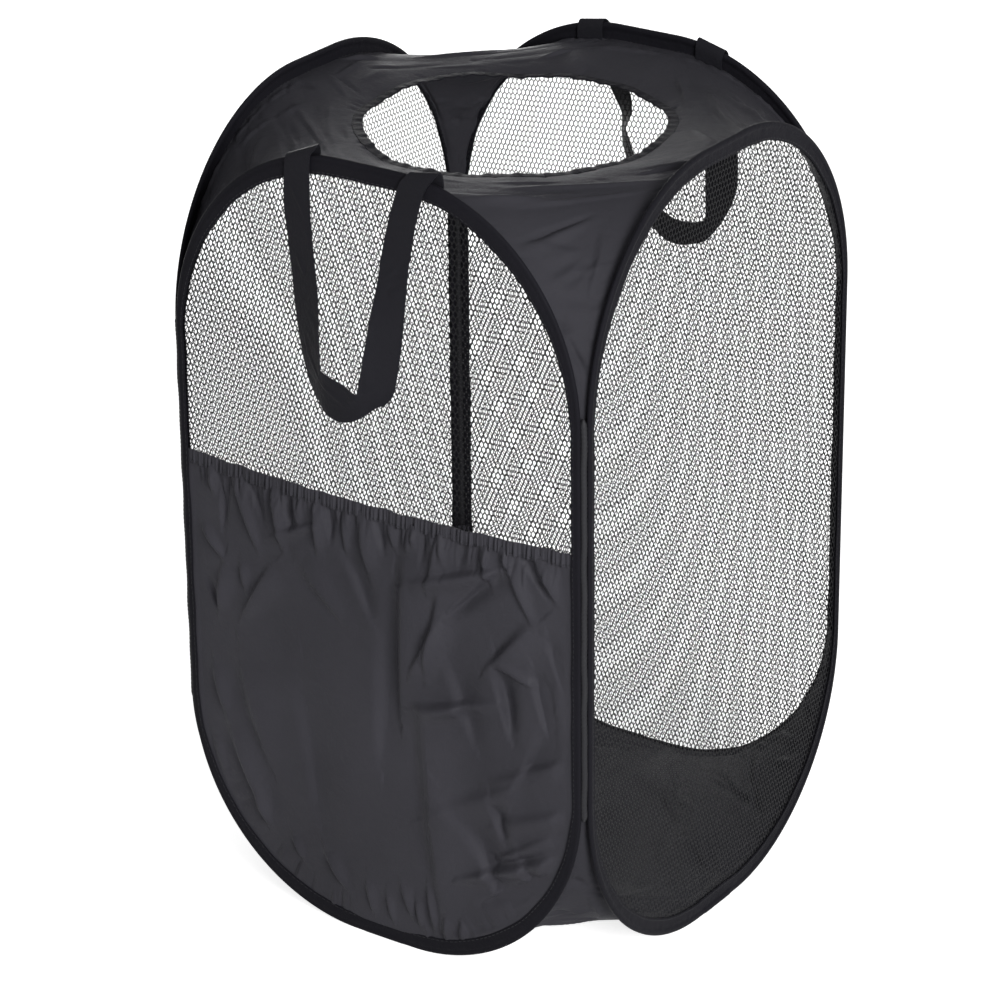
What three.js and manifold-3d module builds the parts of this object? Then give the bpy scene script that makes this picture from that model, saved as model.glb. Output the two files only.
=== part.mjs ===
// A pop up laundry hamper. Four tall net panels, each stretched on a loop of spring wire,
// are sewn together at the corners. Cloth covers close the bottom and, round a mouth, the top.
// Millimetres, +Z up, floor at z = 0, origin under the middle. The pocket side faces -Y.

import * as THREE from 'three';
import { mergeVertices } from 'three/addons/utils/BufferGeometryUtils.js';
import Module from 'manifold-3d';

const wasm = await Module();
wasm.setup();

// Whole hamper
const hamperWidth = 360;
const hamperHeight = 610;
const clearance = 0.3;

// Panel outline: straight sides, quarter oval corners and a short flat at top and bottom
const archFlatHalf = 24;
const archRise = 160;
const arcSteps = 8;

// Fold lines: each panel stops short of the line where it is sewn to the next one
const edgeGap = 0.8;
const faceGap = 0.8;

// Spring wire loop and the ferrule that joins its ends
const wireRadius = 1;
const wireSides = 6;
const wireEndGap = 1;
const ferruleWall = 0.5;
const ferruleLength = 30;
const ferruleSides = 12;
const ferruleTaper = 6;

// Binding tape, folded over the wire and the edge of the net
const tapeThickness = 0.6;
const sideBandWidth = 9;
const archBandWidth = 14;
const noseShare = 0.7;

// Net
const netThickness = 0.8;
const netInset = 6;
const netStrand = 4;
const netMargin = 1;
const netColumns = 4;
const netRows = 5;
const smallestGapShare = 0.08;
const cutOverrun = 1;

// Corner seams
const seamRadius = 0.5;
const seamSides = 6;

// Covers
const coverThickness = 0.8;
const coverSeamShare = 0.6;
const coverRings = 2;
const coverSagShare = 0.035;
const chordSteps = 6;
const flatSteps = 2;
const mouthRadius = 116;
const mouthDrop = 22;
const hemWidth = 6;
const hemThickness = 1.6;
const floorRadius = 118;
const floorHeight = 12;

// Pocket
const pocketTop = 358;
const pocketCloth = 0.6;
const pocketMouthBulge = 10;
const pocketBelly = 6;
const pocketHemHeight = 10;
const pocketHemThickness = 2;
const pocketHemTaperPower = 8;
const gatherDepth = 1.6;
const gatherLength = 70;
const gatherCount = 7;
const gatherColumns = 28;
const pocketSideRows = 4;

// Carrying straps
const strapWidth = 25;
const strapThickness = 1;
const strapSpacing = 98;
const strapOffset = -10;
const strapDrop = 172;
const strapReach = 14;
const strapSteps = 24;

// Stations along the strap, from its left end to its right end. The first three shares place
// its middle line: of the way across, of the drop, and of the reach out from the panel. The
// last three are the way its outer edge lies from its inner edge: across, out and up.
const strapStationShares = [
  [-0.5, 0, 0, -1, 0, 0],
  [-0.46, 0.39, 0.2, -0.98, -0.2, -0.05],
  [-0.4, 0.72, 0.38, -0.92, -0.37, -0.16],
  [-0.31, 0.92, 0.7, -0.62, -0.4, -0.67],
  [-0.25, 0.97, 0.88, -0.3, -0.28, -0.91],
  [-0.05, 1, 1, 0, -0.1, -0.99],
  [0.14, 0.98, 0.77, 0.54, -0.5, -0.66],
  [0.2, 0.93, 0.59, 0.82, -0.49, -0.3],
  [0.3, 0.62, 0.27, 0.95, -0.3, -0.06],
  [0.37, 0.32, 0.09, 1, -0.09, 0],
  [0.5, 0, 0, 1, 0, 0],
];

// Sizes that follow from the ones above
const ferruleBore = wireRadius + clearance;
const ferruleRadius = ferruleBore + ferruleWall;
const wireRoom = wireRadius + clearance;
const ferruleRoom = ferruleRadius + clearance;
const wireDepth = tapeThickness + ferruleRoom;
const panelHalf = wireRoom + tapeThickness;
const hingeHalf = hamperWidth / 2 - faceGap - 2 * panelHalf;
const panelPlane = hingeHalf + faceGap + panelHalf;
const loopHalf = hingeHalf - edgeGap;
const netRoom = netThickness / 2 + clearance;
const pocketRoom = netRoom + pocketCloth + clearance;
const pocketEdgeDepth = netInset;
const pocketFree = archBandWidth + netMargin;
const pocketSeatOut = netRoom + pocketCloth / 2;
const mouthHeight = hamperHeight - mouthDrop;
const mouthEdge = mouthRadius + clearance;
const coverAround = 4 * (chordSteps + flatSteps);
const strapPlane = panelHalf + clearance + strapThickness / 2;
const strapSeat = clearance + strapThickness / 2;
const tuckDepth = coverSeamShare * archBandWidth - coverThickness / 2 - 2 * clearance;

const cloth = { roughness: 0.75, metalness: 0 };
const materials = {
  binding: new THREE.MeshStandardMaterial({ color: 0x1b1a1f, ...cloth }),
  cover: new THREE.MeshStandardMaterial({ color: 0x323236, ...cloth }),
  pocket: new THREE.MeshStandardMaterial({ color: 0x3a393e, ...cloth }),
  net: new THREE.MeshStandardMaterial({ color: 0x141417, ...cloth }),
  strap: new THREE.MeshStandardMaterial({ color: 0x222126, ...cloth }),
  thread: new THREE.MeshStandardMaterial({ color: 0x111113, ...cloth }),
  steel: new THREE.MeshStandardMaterial({ color: 0x9b9da1, roughness: 0.35, metalness: 1 }),
};

// A solid from points and triangles, turned the right way out
function solid(points, triangles) {
  let volume = 0;
  for (let i = 0; i < triangles.length; i += 3) {
    const [a, b, c] = [points[triangles[i]], points[triangles[i + 1]], points[triangles[i + 2]]];
    volume += new THREE.Vector3().crossVectors(b, c).dot(a);
  }
  const index = volume < 0 ? [...triangles].reverse() : triangles;
  const geometry = new THREE.BufferGeometry();
  geometry.setAttribute('position', new THREE.Float32BufferAttribute(points.flatMap((p) => p.toArray()), 3));
  geometry.setIndex(index);
  geometry.computeVertexNormals();
  return geometry;
}

// A quad of a skin as two triangles. Both faces of a thin sheet are split along the same
// diagonal, so that they never cut through each other where the sheet is twisted.
function splitQuad(here, hereNext, there, thereNext, secondFace) {
  return secondFace
    ? [here, there, hereNext, there, thereNext, hereNext]
    : [here, there, thereNext, here, thereNext, hereNext];
}

// A skin over a row of sections with the same number of corners. The first half of the
// corners runs along one face of the sheet, and the second half back along the other.
// A joined row closes on itself, an open one gets a flat cap at each end.
function loft(sections, joined) {
  const corners = sections[0].length;
  const triangles = [];
  const spans = joined ? sections.length : sections.length - 1;
  for (let i = 0; i < spans; i += 1) {
    const here = i * corners;
    const there = ((i + 1) % sections.length) * corners;
    for (let k = 0; k < corners; k += 1) {
      const next = (k + 1) % corners;
      triangles.push(...splitQuad(here + k, here + next, there + k, there + next, k >= corners / 2));
    }
  }
  if (!joined) {
    const last = spans * corners;
    for (let k = 1; k < corners - 1; k += 1) {
      triangles.push(0, k, k + 1);
      triangles.push(last, last + k + 1, last + k);
    }
  }
  return solid(sections.flat(), triangles);
}

// Stations round a panel's loop. A station is a spoke: depth 0 is the outer edge of the panel,
// and a larger depth lies further in. Panel drawings are x across and z up, seen from outside.
function spoke(rootX, rootZ, across, up) {
  return { rootX, rootZ, across, up };
}

function pointOn(station, depth) {
  const x = station.rootX + station.across * (loopHalf - archFlatHalf - depth);
  const z = station.rootZ + station.up * (archRise - depth);
  return new THREE.Vector2(x, z);
}

function cornerSpokes(right, top) {
  const rootX = right * archFlatHalf;
  const rootZ = top > 0 ? hamperHeight - archRise : archRise;
  const spokes = [];
  for (let i = 0; i <= arcSteps; i += 1) {
    const turn = (i / arcSteps) * (Math.PI / 2);
    spokes.push(spoke(rootX, rootZ, right * Math.cos(turn), top * Math.sin(turn)));
  }
  return spokes;
}

function bottomSpoke(x) {
  return spoke(x, archRise, 0, -1);
}

// The whole loop, from the middle of the bottom round to the right and back again
function loopSpokes(bottomStops) {
  return [
    ...bottomStops.map((x) => bottomSpoke(x)),
    ...cornerSpokes(1, -1).reverse(),
    ...cornerSpokes(1, 1),
    ...cornerSpokes(-1, 1).reverse(),
    ...cornerSpokes(-1, -1),
    ...[...bottomStops].reverse().map((x) => bottomSpoke(-x)),
  ];
}

// The top arch from left to right
function archSpokes() {
  return [...cornerSpokes(-1, 1), ...cornerSpokes(1, 1).reverse()];
}

function bandWidth(station) {
  return sideBandWidth + (archBandWidth - sideBandWidth) * Math.abs(station.up);
}

// A point of a panel: depth in from the edge along a spoke, and out from the net's middle
function onPanel(station, depth, out) {
  const p = pointOn(station, depth);
  return new THREE.Vector3(p.x, -panelPlane - out, p.y);
}

// Spring wire, open at the bottom where its ends meet in the ferrule
function wireGeometry() {
  const sections = loopSpokes([wireEndGap / 2]).map((station) => {
    const ring = [];
    for (let k = 0; k < wireSides; k += 1) {
      const turn = (k / wireSides) * 2 * Math.PI;
      const depth = wireDepth + wireRadius * Math.cos(turn);
      ring.push(onPanel(station, depth, wireRadius * Math.sin(turn)));
    }
    return ring;
  });
  return loft(sections, false);
}

// Ferrule: a short tube crimped round the wire's ends at the middle of the bottom
function ferruleGeometry() {
  const half = ferruleLength / 2;
  const profile = [
    new THREE.Vector2(ferruleBore, -half),
    new THREE.Vector2(ferruleRadius, -half),
    new THREE.Vector2(ferruleRadius, half),
    new THREE.Vector2(ferruleBore, half),
    new THREE.Vector2(ferruleBore, -half),
  ];
  const geometry = new THREE.LatheGeometry(profile, ferruleSides);
  geometry.rotateZ(Math.PI / 2);
  geometry.translate(0, -panelPlane, wireDepth);
  return geometry;
}

// Binding: one strip of tape folded double. Its fold holds the wire, and swells over the
// ferrule. Its legs hold the net's edge, and on the front the pocket's edge as well.
function bindingGeometry(outerRoom) {
  const ferruleStop = ferruleLength / 2 + clearance;
  const sections = loopSpokes([ferruleStop, ferruleStop + ferruleTaper]).map((station) => {
    const swollen = station.across === 0 && Math.abs(station.rootX) === ferruleStop;
    const room = swollen ? ferruleRoom : wireRoom;
    const noseRoom = noseShare * room;
    const width = bandWidth(station);
    const corners = [
      [0, noseRoom + tapeThickness],
      [wireDepth, room + tapeThickness],
      [width, outerRoom + tapeThickness],
      [width, outerRoom],
      [wireDepth, room],
      [tapeThickness, noseRoom],
      [tapeThickness, -noseRoom],
      [wireDepth, -room],
      [width, -netRoom],
      [width, -netRoom - tapeThickness],
      [wireDepth, -room - tapeThickness],
      [0, -noseRoom - tapeThickness],
    ];
    return corners.map(([depth, out]) => onPanel(station, depth, out));
  });
  return loft(sections, true);
}

// The part of a polygon that lies inside a convex outline drawn anticlockwise
function clipTo(outline, polygon) {
  let kept = polygon;
  outline.forEach((a, i) => {
    const b = outline[(i + 1) % outline.length];
    const side = (p) => (b.x - a.x) * (p.y - a.y) - (b.y - a.y) * (p.x - a.x);
    const next = [];
    kept.forEach((p, k) => {
      const q = kept[(k + 1) % kept.length];
      const [sp, sq] = [side(p), side(q)];
      if (sp >= 0) next.push(p);
      if (sp * sq < 0) next.push(p.clone().lerp(q, sp / (sp - sq)));
    });
    kept = next;
  });
  return kept;
}

function toManifold(geometry) {
  const bare = geometry.clone();
  bare.deleteAttribute('normal');
  bare.deleteAttribute('uv');
  const merged = mergeVertices(bare);
  const vertProperties = new Float32Array(merged.attributes.position.array);
  const triVerts = new Uint32Array(merged.index.array);
  return new wasm.Manifold(new wasm.Mesh({ numProp: 3, vertProperties, triVerts }));
}

function fromManifold(manifold) {
  const mesh = manifold.getMesh();
  const geometry = new THREE.BufferGeometry();
  geometry.setAttribute('position', new THREE.BufferAttribute(mesh.vertProperties, 3));
  geometry.setIndex(new THREE.BufferAttribute(mesh.triVerts, 1));
  geometry.computeVertexNormals();
  return geometry;
}

// A plate of a given thickness on an outline, its middle on the net's middle plane
function plate(outline, thickness) {
  const shape = new THREE.Shape(outline);
  const geometry = new THREE.ExtrudeGeometry(shape, { depth: thickness, bevelEnabled: false });
  geometry.rotateX(Math.PI / 2);
  geometry.translate(0, thickness / 2 - panelPlane, 0);
  return toManifold(geometry);
}

// Net: a thin plate on the loop's outline, cut through by staggered diamonds
function netGeometry() {
  const spokes = loopSpokes([]);
  const field = spokes.map((station) => pointOn(station, bandWidth(station) + netMargin));
  const fieldBox = new THREE.Box2().setFromPoints(field);
  const size = fieldBox.getSize(new THREE.Vector2());
  const halfX = size.x / netColumns / 2;
  const halfZ = size.y / netRows / 2;
  const inner = (halfX * halfZ) / Math.hypot(halfX, halfZ);
  const open = 1 - netStrand / 2 / inner;
  const smallestGap = smallestGapShare * halfX * halfZ * 2;
  let net = plate(spokes.map((station) => pointOn(station, netInset)), netThickness);
  for (let i = 0; i <= 2 * netColumns; i += 1) {
    for (let j = 0; j <= 2 * netRows; j += 1) {
      const x = fieldBox.min.x + i * halfX;
      const z = fieldBox.min.y + j * halfZ;
      const diamond = [
        new THREE.Vector2(x - halfX * open, z),
        new THREE.Vector2(x, z - halfZ * open),
        new THREE.Vector2(x + halfX * open, z),
        new THREE.Vector2(x, z + halfZ * open),
      ];
      const gap = clipTo(field, diamond);
      const staggered = (i + j) % 2 === 0;
      if (staggered && gap.length > 2 && THREE.ShapeUtils.area(gap) > smallestGap) {
        net = net.subtract(plate(gap, netThickness + 2 * cutOverrun));
      }
    }
  }
  return fromManifold(net);
}

// Corner seam: the line of thread on the fold line, along the straight part of the sides
function seamGeometry() {
  const length = hamperHeight - 2 * archRise;
  const geometry = new THREE.CylinderGeometry(seamRadius, seamRadius, length, seamSides);
  geometry.rotateX(Math.PI / 2);
  geometry.translate(hingeHalf, -hingeHalf, hamperHeight / 2);
  return geometry;
}

// A point of the line along which a cover is sewn to a panel, with the way its upper face looks
function sewnPoint(station, side) {
  const point = onPanel(station, coverSeamShare * bandWidth(station), -panelHalf - clearance);
  const face = new THREE.Vector3(station.across, 0, station.up).normalize();
  const upright = new THREE.Vector3(0, 0, 1);
  const turn = (side * Math.PI) / 2;
  return { point: point.applyAxisAngle(upright, turn), face: face.applyAxisAngle(upright, turn) };
}

// The place round an inner circle that faces a place round the tops of the arches
function ringPoint(s, radius, height) {
  const turn = ((s - flatSteps / 2) / coverAround - 1 / 4) * 2 * Math.PI;
  return new THREE.Vector3(radius * Math.cos(turn), radius * Math.sin(turn), height);
}

// The cloth in a corner: row by row from the fold line up, each row drawn from one arch across
// to the same height on the next arch, and hanging in a little between them
function cornerRows(side) {
  const next = cornerSpokes(-1, 1);
  return cornerSpokes(1, 1).map((station, i) => {
    const [a, b] = [sewnPoint(station, side), sewnPoint(next[i], side + 1)];
    const turn = (i / arcSteps) * (Math.PI / 2);
    const slack = new THREE.Vector3(-Math.cos(turn), Math.cos(turn), -Math.SQRT2 * Math.sin(turn));
    slack.normalize().applyAxisAngle(new THREE.Vector3(0, 0, 1), (side * Math.PI) / 2);
    const sag = coverSagShare * a.point.distanceTo(b.point);
    const row = [a];
    for (let k = 1; k < chordSteps; k += 1) {
      const share = k / chordSteps;
      const point = a.point.clone().lerp(b.point, share);
      point.addScaledVector(slack, Math.sin(share * Math.PI) * sag);
      row.push({ point, face: slack.clone().negate() });
    }
    return [...row, b];
  });
}

// A cover: four such corners, and a level middle from the tops of the arches to a circle.
// The top cover ends there at the mouth. The bottom one is closed, and is the same upside down.
function coverGeometry(top, radius, height) {
  const spots = [];
  const put = (spot) => spots.push(spot) - 1;
  const triangles = [];
  const quad = (a, b, c, d) => triangles.push(a, b, d, a, d, c);
  const corners = [0, 1, 2, 3].map((side) => cornerRows(side).map((row) => row.map(put)));
  corners.forEach((rows) => {
    for (let i = 0; i < arcSteps; i += 1) {
      for (let k = 0; k < chordSteps; k += 1) {
        quad(rows[i][k], rows[i][k + 1], rows[i + 1][k], rows[i + 1][k + 1]);
      }
    }
  });
  let ring = corners.flatMap((rows, side) => {
    const flat = [corners[(side + 3) % 4][arcSteps][chordSteps]];
    for (let k = 1; k < flatSteps; k += 1) {
      const x = archFlatHalf * ((2 * k) / flatSteps - 1);
      flat.push(put(sewnPoint(spoke(x, hamperHeight - archRise, 0, 1), side)));
    }
    return [...flat, ...rows[arcSteps].slice(0, chordSteps)];
  });
  const rim = ring.map((number) => spots[number].point);
  for (let r = 1; r <= coverRings; r += 1) {
    const share = r / coverRings;
    const inner = rim.map((from, s) => {
      const to = ringPoint(s, radius, height);
      const point = from.clone().lerp(to, share);
      point.z = from.z + (to.z - from.z) * share * share;
      return put({ point, face: new THREE.Vector3(0, 0, 1) });
    });
    ring.forEach((a, s) => {
      const t = (s + 1) % coverAround;
      quad(a, ring[t], inner[s], inner[t]);
    });
    ring = inner;
  }
  if (!top) {
    const middle = put({ point: new THREE.Vector3(0, 0, height), face: new THREE.Vector3(0, 0, 1) });
    ring.forEach((a, s) => triangles.push(a, ring[(s + 1) % coverAround], middle));
  }
  const sheet = thickened(spots, triangles);
  if (!top) {
    sheet.points.forEach((point) => point.setZ(hamperHeight - point.z));
  }
  return solid(sheet.points, sheet.triangles);
}

// Both faces of a cloth whose middle surface is given, and the strip along its free edges
function thickened(spots, triangles) {
  const layer = (offset) => spots.map(({ point, face }) => point.clone().addScaledVector(face, offset));
  const lower = spots.length;
  const all = [];
  const edges = new Set();
  for (let i = 0; i < triangles.length; i += 3) {
    const [a, b, c] = triangles.slice(i, i + 3);
    all.push(a, b, c, lower + a, lower + c, lower + b);
    [[a, b], [b, c], [c, a]].forEach(([from, to]) => edges.add(`${from} ${to}`));
  }
  edges.forEach((edge) => {
    const [from, to] = edge.split(' ').map(Number);
    if (!edges.has(`${to} ${from}`)) {
      all.push(from, lower + from, lower + to, from, lower + to, to);
    }
  });
  return { points: [...layer(coverThickness / 2), ...layer(-coverThickness / 2)], triangles: all };
}

// Mouth hem: the cloth folded under round the mouth of the top cover
function mouthHemGeometry() {
  const [under, over] = [mouthHeight - hemThickness / 2, mouthHeight + hemThickness / 2];
  const sections = [];
  for (let s = 0; s < coverAround; s += 1) {
    sections.push([
      ringPoint(s, mouthRadius - hemWidth, under),
      ringPoint(s, mouthRadius, under),
      ringPoint(s, mouthRadius, over),
      ringPoint(s, mouthRadius - hemWidth, over),
    ]);
  }
  return loft(sections, true);
}

// Half width of the panel's outline at a height, a given depth in from the edge
function outlineHalf(z, depth) {
  const level = Math.min(archRise, Math.max(depth, z));
  const share = (archRise - level) / (archRise - depth);
  return archFlatHalf + Math.sqrt(1 - share * share) * (loopHalf - archFlatHalf - depth);
}

function pocketHalf(z) {
  return z > pocketFree ? outlineHalf(z, pocketFree) : archFlatHalf;
}

// How far the pocket's cloth stands out from the net's middle
function pocketOut(x, z) {
  const across = Math.min(1, Math.abs(x) / pocketHalf(z));
  const up = Math.max(0, (z - pocketFree) / (pocketTop - pocketFree));
  const profile = pocketMouthBulge * Math.sin((up * Math.PI) / 2) + pocketBelly * Math.sin(up * Math.PI);
  return pocketSeatOut + (1 - across * across) * profile;
}

// Pocket: a slack cloth held in the front binding at its sides and bottom, gathered at its top
function pocketGeometry() {
  const clothTop = pocketTop - pocketHemHeight - clearance;
  const levels = [pocketEdgeDepth];
  for (let i = 1; i <= arcSteps; i += 1) {
    const turn = (i / arcSteps) * (Math.PI / 2);
    levels.push(pocketFree + (archRise - pocketFree) * (1 - Math.cos(turn)));
  }
  for (let i = 1; i <= pocketSideRows; i += 1) {
    levels.push(archRise + ((clothTop - archRise) * i) / pocketSideRows);
  }
  const rows = levels.map((z) => {
    const [edge, free] = [outlineHalf(z, pocketEdgeDepth), pocketHalf(z)];
    const row = [[-edge, z, pocketSeatOut]];
    for (let k = 0; k <= gatherColumns; k += 1) {
      const share = (2 * k) / gatherColumns - 1;
      const fade = Math.max(0, 1 - (clothTop - z) / gatherLength);
      const wave = Math.cos(share * gatherCount * Math.PI) * (1 - share * share);
      const squeezed = Math.min(free, edge * (1 - clearance / edge));
      row.push([share * squeezed, z, pocketOut(share * free, z) + gatherDepth * fade * wave]);
    }
    row.push([edge, z, pocketSeatOut]);
    return row;
  });
  const sections = rows.map((row) => {
    const outer = row.map(([x, z, out]) => new THREE.Vector3(x, -panelPlane - out - pocketCloth / 2, z));
    const inner = row.map(([x, z, out]) => new THREE.Vector3(x, -panelPlane - out + pocketCloth / 2, z));
    return [...outer, ...inner.reverse()];
  });
  return stripSolid(sections);
}

// A skin over a row of thin sections whose outer side runs there and inner side runs back
function stripSolid(sections) {
  const corners = sections[0].length;
  const last = (sections.length - 1) * corners;
  const triangles = [];
  for (let i = 0; i < sections.length - 1; i += 1) {
    for (let k = 0; k < corners; k += 1) {
      const next = (k + 1) % corners;
      const [a, b] = [i * corners + k, i * corners + next];
      triangles.push(...splitQuad(a, b, a + corners, b + corners, k >= corners / 2));
    }
  }
  for (let k = 0; k < corners / 2 - 1; k += 1) {
    const [a, b] = [k, k + 1];
    const [c, d] = [corners - 1 - k, corners - 2 - k];
    triangles.push(a, b, d, a, d, c);
    triangles.push(last + a, last + d, last + b, last + a, last + c, last + d);
  }
  return solid(sections.flat(), triangles);
}

// Pocket hem: the folded top edge of the pocket, with elastic inside
function pocketHemGeometry() {
  const half = outlineHalf(pocketTop, pocketEdgeDepth);
  const free = pocketHalf(pocketTop);
  const sections = [];
  for (let k = -1; k <= gatherColumns + 1; k += 1) {
    const share = Math.max(-1, Math.min(1, (2 * k) / gatherColumns - 1));
    const held = k < 0 || k > gatherColumns;
    const x = share * (held ? half : free);
    const swell = held ? 0 : (1 - share ** pocketHemTaperPower) * (pocketHemThickness - pocketCloth);
    const out = pocketOut(share * free, pocketTop);
    const [near, far] = [out - pocketCloth / 2, out + pocketCloth / 2 + swell];
    sections.push([
      new THREE.Vector3(x, -panelPlane - near, pocketTop - pocketHemHeight),
      new THREE.Vector3(x, -panelPlane - far, pocketTop - pocketHemHeight),
      new THREE.Vector3(x, -panelPlane - far, pocketTop),
      new THREE.Vector3(x, -panelPlane - near, pocketTop),
    ]);
  }
  return loft(sections, false);
}

// The spoke of the top arch at a place across the panel
function archSpokeAt(x) {
  const spokes = archSpokes();
  const i = spokes.findIndex((station) => pointOn(station, 0).x > x);
  const [a, b] = [spokes[i - 1], spokes[i]];
  const [xa, xb] = [pointOn(a, 0).x, pointOn(b, 0).x];
  const t = (x - xa) / (xb - xa);
  const mix = (p, q) => p + (q - p) * t;
  return spoke(mix(a.rootX, b.rootX), mix(a.rootZ, b.rootZ), mix(a.across, b.across), mix(a.up, b.up));
}

function strapEndX(side) {
  return strapOffset + (side * strapSpacing) / 2;
}

// A sewn end of the strap: folded over the rim of the panel from the cover's seam
function tabGeometry(side) {
  const [left, right] = [strapEndX(side) - strapWidth / 2, strapEndX(side) + strapWidth / 2];
  const between = archSpokes().filter((station) => {
    const x = pointOn(station, 0).x;
    return x > left + clearance && x < right - clearance;
  });
  const stations = [archSpokeAt(left), ...between, archSpokeAt(right)];
  const [near, far] = [panelHalf + clearance, panelHalf + clearance + strapThickness];
  const sections = stations.map((station) =>
    [
      [tuckDepth, -far],
      [tuckDepth, -near],
      [-clearance, -near],
      [-clearance, panelHalf],
      [-clearance - strapThickness, panelHalf],
      [-clearance - strapThickness, -far],
    ].map(([depth, out]) => onPanel(station, depth, out)),
  );
  return hookSolid(sections);
}

// A skin over L shaped sections of six corners, capped with two strips at each end
function hookSolid(sections) {
  const caps = [0, 1, 2, 0, 2, 5, 5, 2, 3, 5, 3, 4];
  const corners = sections[0].length;
  const last = (sections.length - 1) * corners;
  const triangles = [];
  for (let i = 0; i < sections.length - 1; i += 1) {
    for (let k = 0; k < corners; k += 1) {
      const next = (k + 1) % corners;
      const [a, b] = [i * corners + k, i * corners + next];
      triangles.push(a, a + corners, b + corners, a, b + corners, b);
    }
  }
  for (let k = 0; k < caps.length; k += 3) {
    triangles.push(caps[k], caps[k + 1], caps[k + 2]);
    triangles.push(last + caps[k], last + caps[k + 2], last + caps[k + 1]);
  }
  return solid(sections.flat(), triangles);
}

// Where the strap swings: a line through the middle of its two ends, along the rim
function strapEnd(side) {
  const station = archSpokeAt(strapEndX(side));
  return onPanel(station, -strapSeat, strapPlane);
}

// Strap: its legs hang against the net with their inner edges standing out a little, and its
// loop is turned on edge at the bottom
function strapGeometry() {
  const [leftEnd, rightEnd] = [strapEnd(-1), strapEnd(1)];
  const across = rightEnd.clone().sub(leftEnd).normalize();
  const outward = new THREE.Vector3(0, -1, 0);
  const up = new THREE.Vector3().crossVectors(outward, across);
  const lie = new THREE.Matrix4().makeBasis(across, outward, up);
  const middle = leftEnd.clone().lerp(rightEnd, 1 / 2);
  const size = new THREE.Vector3(strapSpacing, strapReach, -strapDrop);
  const path = new THREE.CatmullRomCurve3(
    strapStationShares.map(([x, down, out]) =>
      new THREE.Vector3(x, out, down).multiply(size).applyMatrix4(lie).add(middle),
    ),
  );
  const widths = new THREE.CatmullRomCurve3(
    strapStationShares.map(([, , , x, out, z]) => new THREE.Vector3(x, out, z).applyMatrix4(lie)),
  );
  const sections = [];
  for (let i = 0; i <= strapSteps; i += 1) {
    const share = i / strapSteps;
    const centre = path.getPoint(share);
    const wide = widths.getPoint(share).normalize();
    const thick = new THREE.Vector3().crossVectors(path.getTangent(share), wide).normalize();
    if (i === 0 || i === strapSteps) {
      thick.copy(outward).negate();
      centre.addScaledVector(up, -clearance / 2);
    }
    const corner = (w, t) =>
      centre.clone().addScaledVector(wide, (w * strapWidth) / 2).addScaledVector(thick, (t * strapThickness) / 2);
    sections.push([corner(-1, -1), corner(1, -1), corner(1, 1), corner(-1, 1)]);
  }
  return loft(sections, false);
}

// Putting the hamper together
const hamper = new THREE.Group();

function add(parent, name, geometry, material) {
  const mesh = new THREE.Mesh(geometry, material);
  mesh.name = name;
  parent.add(mesh);
}

['front', 'right', 'back', 'left'].forEach((name, i) => {
  const panel = new THREE.Group();
  panel.rotation.z = (i * Math.PI) / 2;
  hamper.add(panel);
  const outerRoom = name === 'front' ? pocketRoom : netRoom;
  add(panel, `${name}_wire`, wireGeometry(), materials.steel);
  add(panel, `${name}_ferrule`, ferruleGeometry(), materials.steel);
  add(panel, `${name}_binding`, bindingGeometry(outerRoom), materials.binding);
  add(panel, `${name}_net`, netGeometry(), materials.net);
  if (name === 'front' || name === 'back') {
    add(panel, `${name}_handle_left_tab`, tabGeometry(-1), materials.strap);
    add(panel, `${name}_handle_right_tab`, tabGeometry(1), materials.strap);
    add(panel, `${name}_handle`, strapGeometry(), materials.strap);
  }
  if (name === 'front') {
    add(panel, 'pocket', pocketGeometry(), materials.pocket);
    add(panel, 'pocket_hem', pocketHemGeometry(), materials.pocket);
  }
});

['front_right', 'back_right', 'back_left', 'front_left'].forEach((name, i) => {
  const corner = new THREE.Group();
  corner.rotation.z = (i * Math.PI) / 2;
  hamper.add(corner);
  add(corner, `${name}_seam`, seamGeometry(), materials.thread);
});

add(hamper, 'top_cover', coverGeometry(true, mouthEdge, mouthHeight), materials.cover);
add(hamper, 'mouth_hem', mouthHemGeometry(), materials.binding);
add(hamper, 'bottom_cover', coverGeometry(false, floorRadius, hamperHeight - floorHeight), materials.cover);

export default hamper;
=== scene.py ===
import math

import bpy
import numpy as np
from mathutils import Matrix, Vector


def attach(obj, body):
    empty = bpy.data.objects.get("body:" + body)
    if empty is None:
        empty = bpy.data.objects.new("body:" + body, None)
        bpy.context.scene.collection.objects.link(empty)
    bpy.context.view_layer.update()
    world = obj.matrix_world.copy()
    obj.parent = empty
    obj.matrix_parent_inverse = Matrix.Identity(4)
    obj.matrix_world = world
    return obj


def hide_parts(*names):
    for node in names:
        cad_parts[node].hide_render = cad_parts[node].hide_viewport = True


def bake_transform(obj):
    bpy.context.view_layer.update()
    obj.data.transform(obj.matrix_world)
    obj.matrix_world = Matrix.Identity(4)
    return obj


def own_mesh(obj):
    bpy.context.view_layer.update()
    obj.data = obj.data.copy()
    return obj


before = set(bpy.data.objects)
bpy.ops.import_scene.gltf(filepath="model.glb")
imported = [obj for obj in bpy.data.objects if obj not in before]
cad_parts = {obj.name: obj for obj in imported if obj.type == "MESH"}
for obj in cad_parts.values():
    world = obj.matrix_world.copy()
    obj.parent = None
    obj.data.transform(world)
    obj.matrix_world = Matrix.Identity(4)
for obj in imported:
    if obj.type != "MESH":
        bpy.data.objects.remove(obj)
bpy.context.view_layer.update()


# The studio: a white sweep of floor and background, a large soft lamp low on the right and
# weaker ones in front, behind and overhead. The camera stands well back with a long lens.
LENS = 149.84
SENSOR = 36
SIGHT = 100
LOOK_AT = Vector((-0.01139, -0.00637, 0.29006))
CAMERA_DISTANCE = 3.11633
CAMERA_AZIMUTH = math.radians(34.71)
CAMERA_ELEVATION = math.radians(24.27)
CAMERA_ROLL = math.radians(-0.61)
WORLD_LIGHT = 0.28
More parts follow.
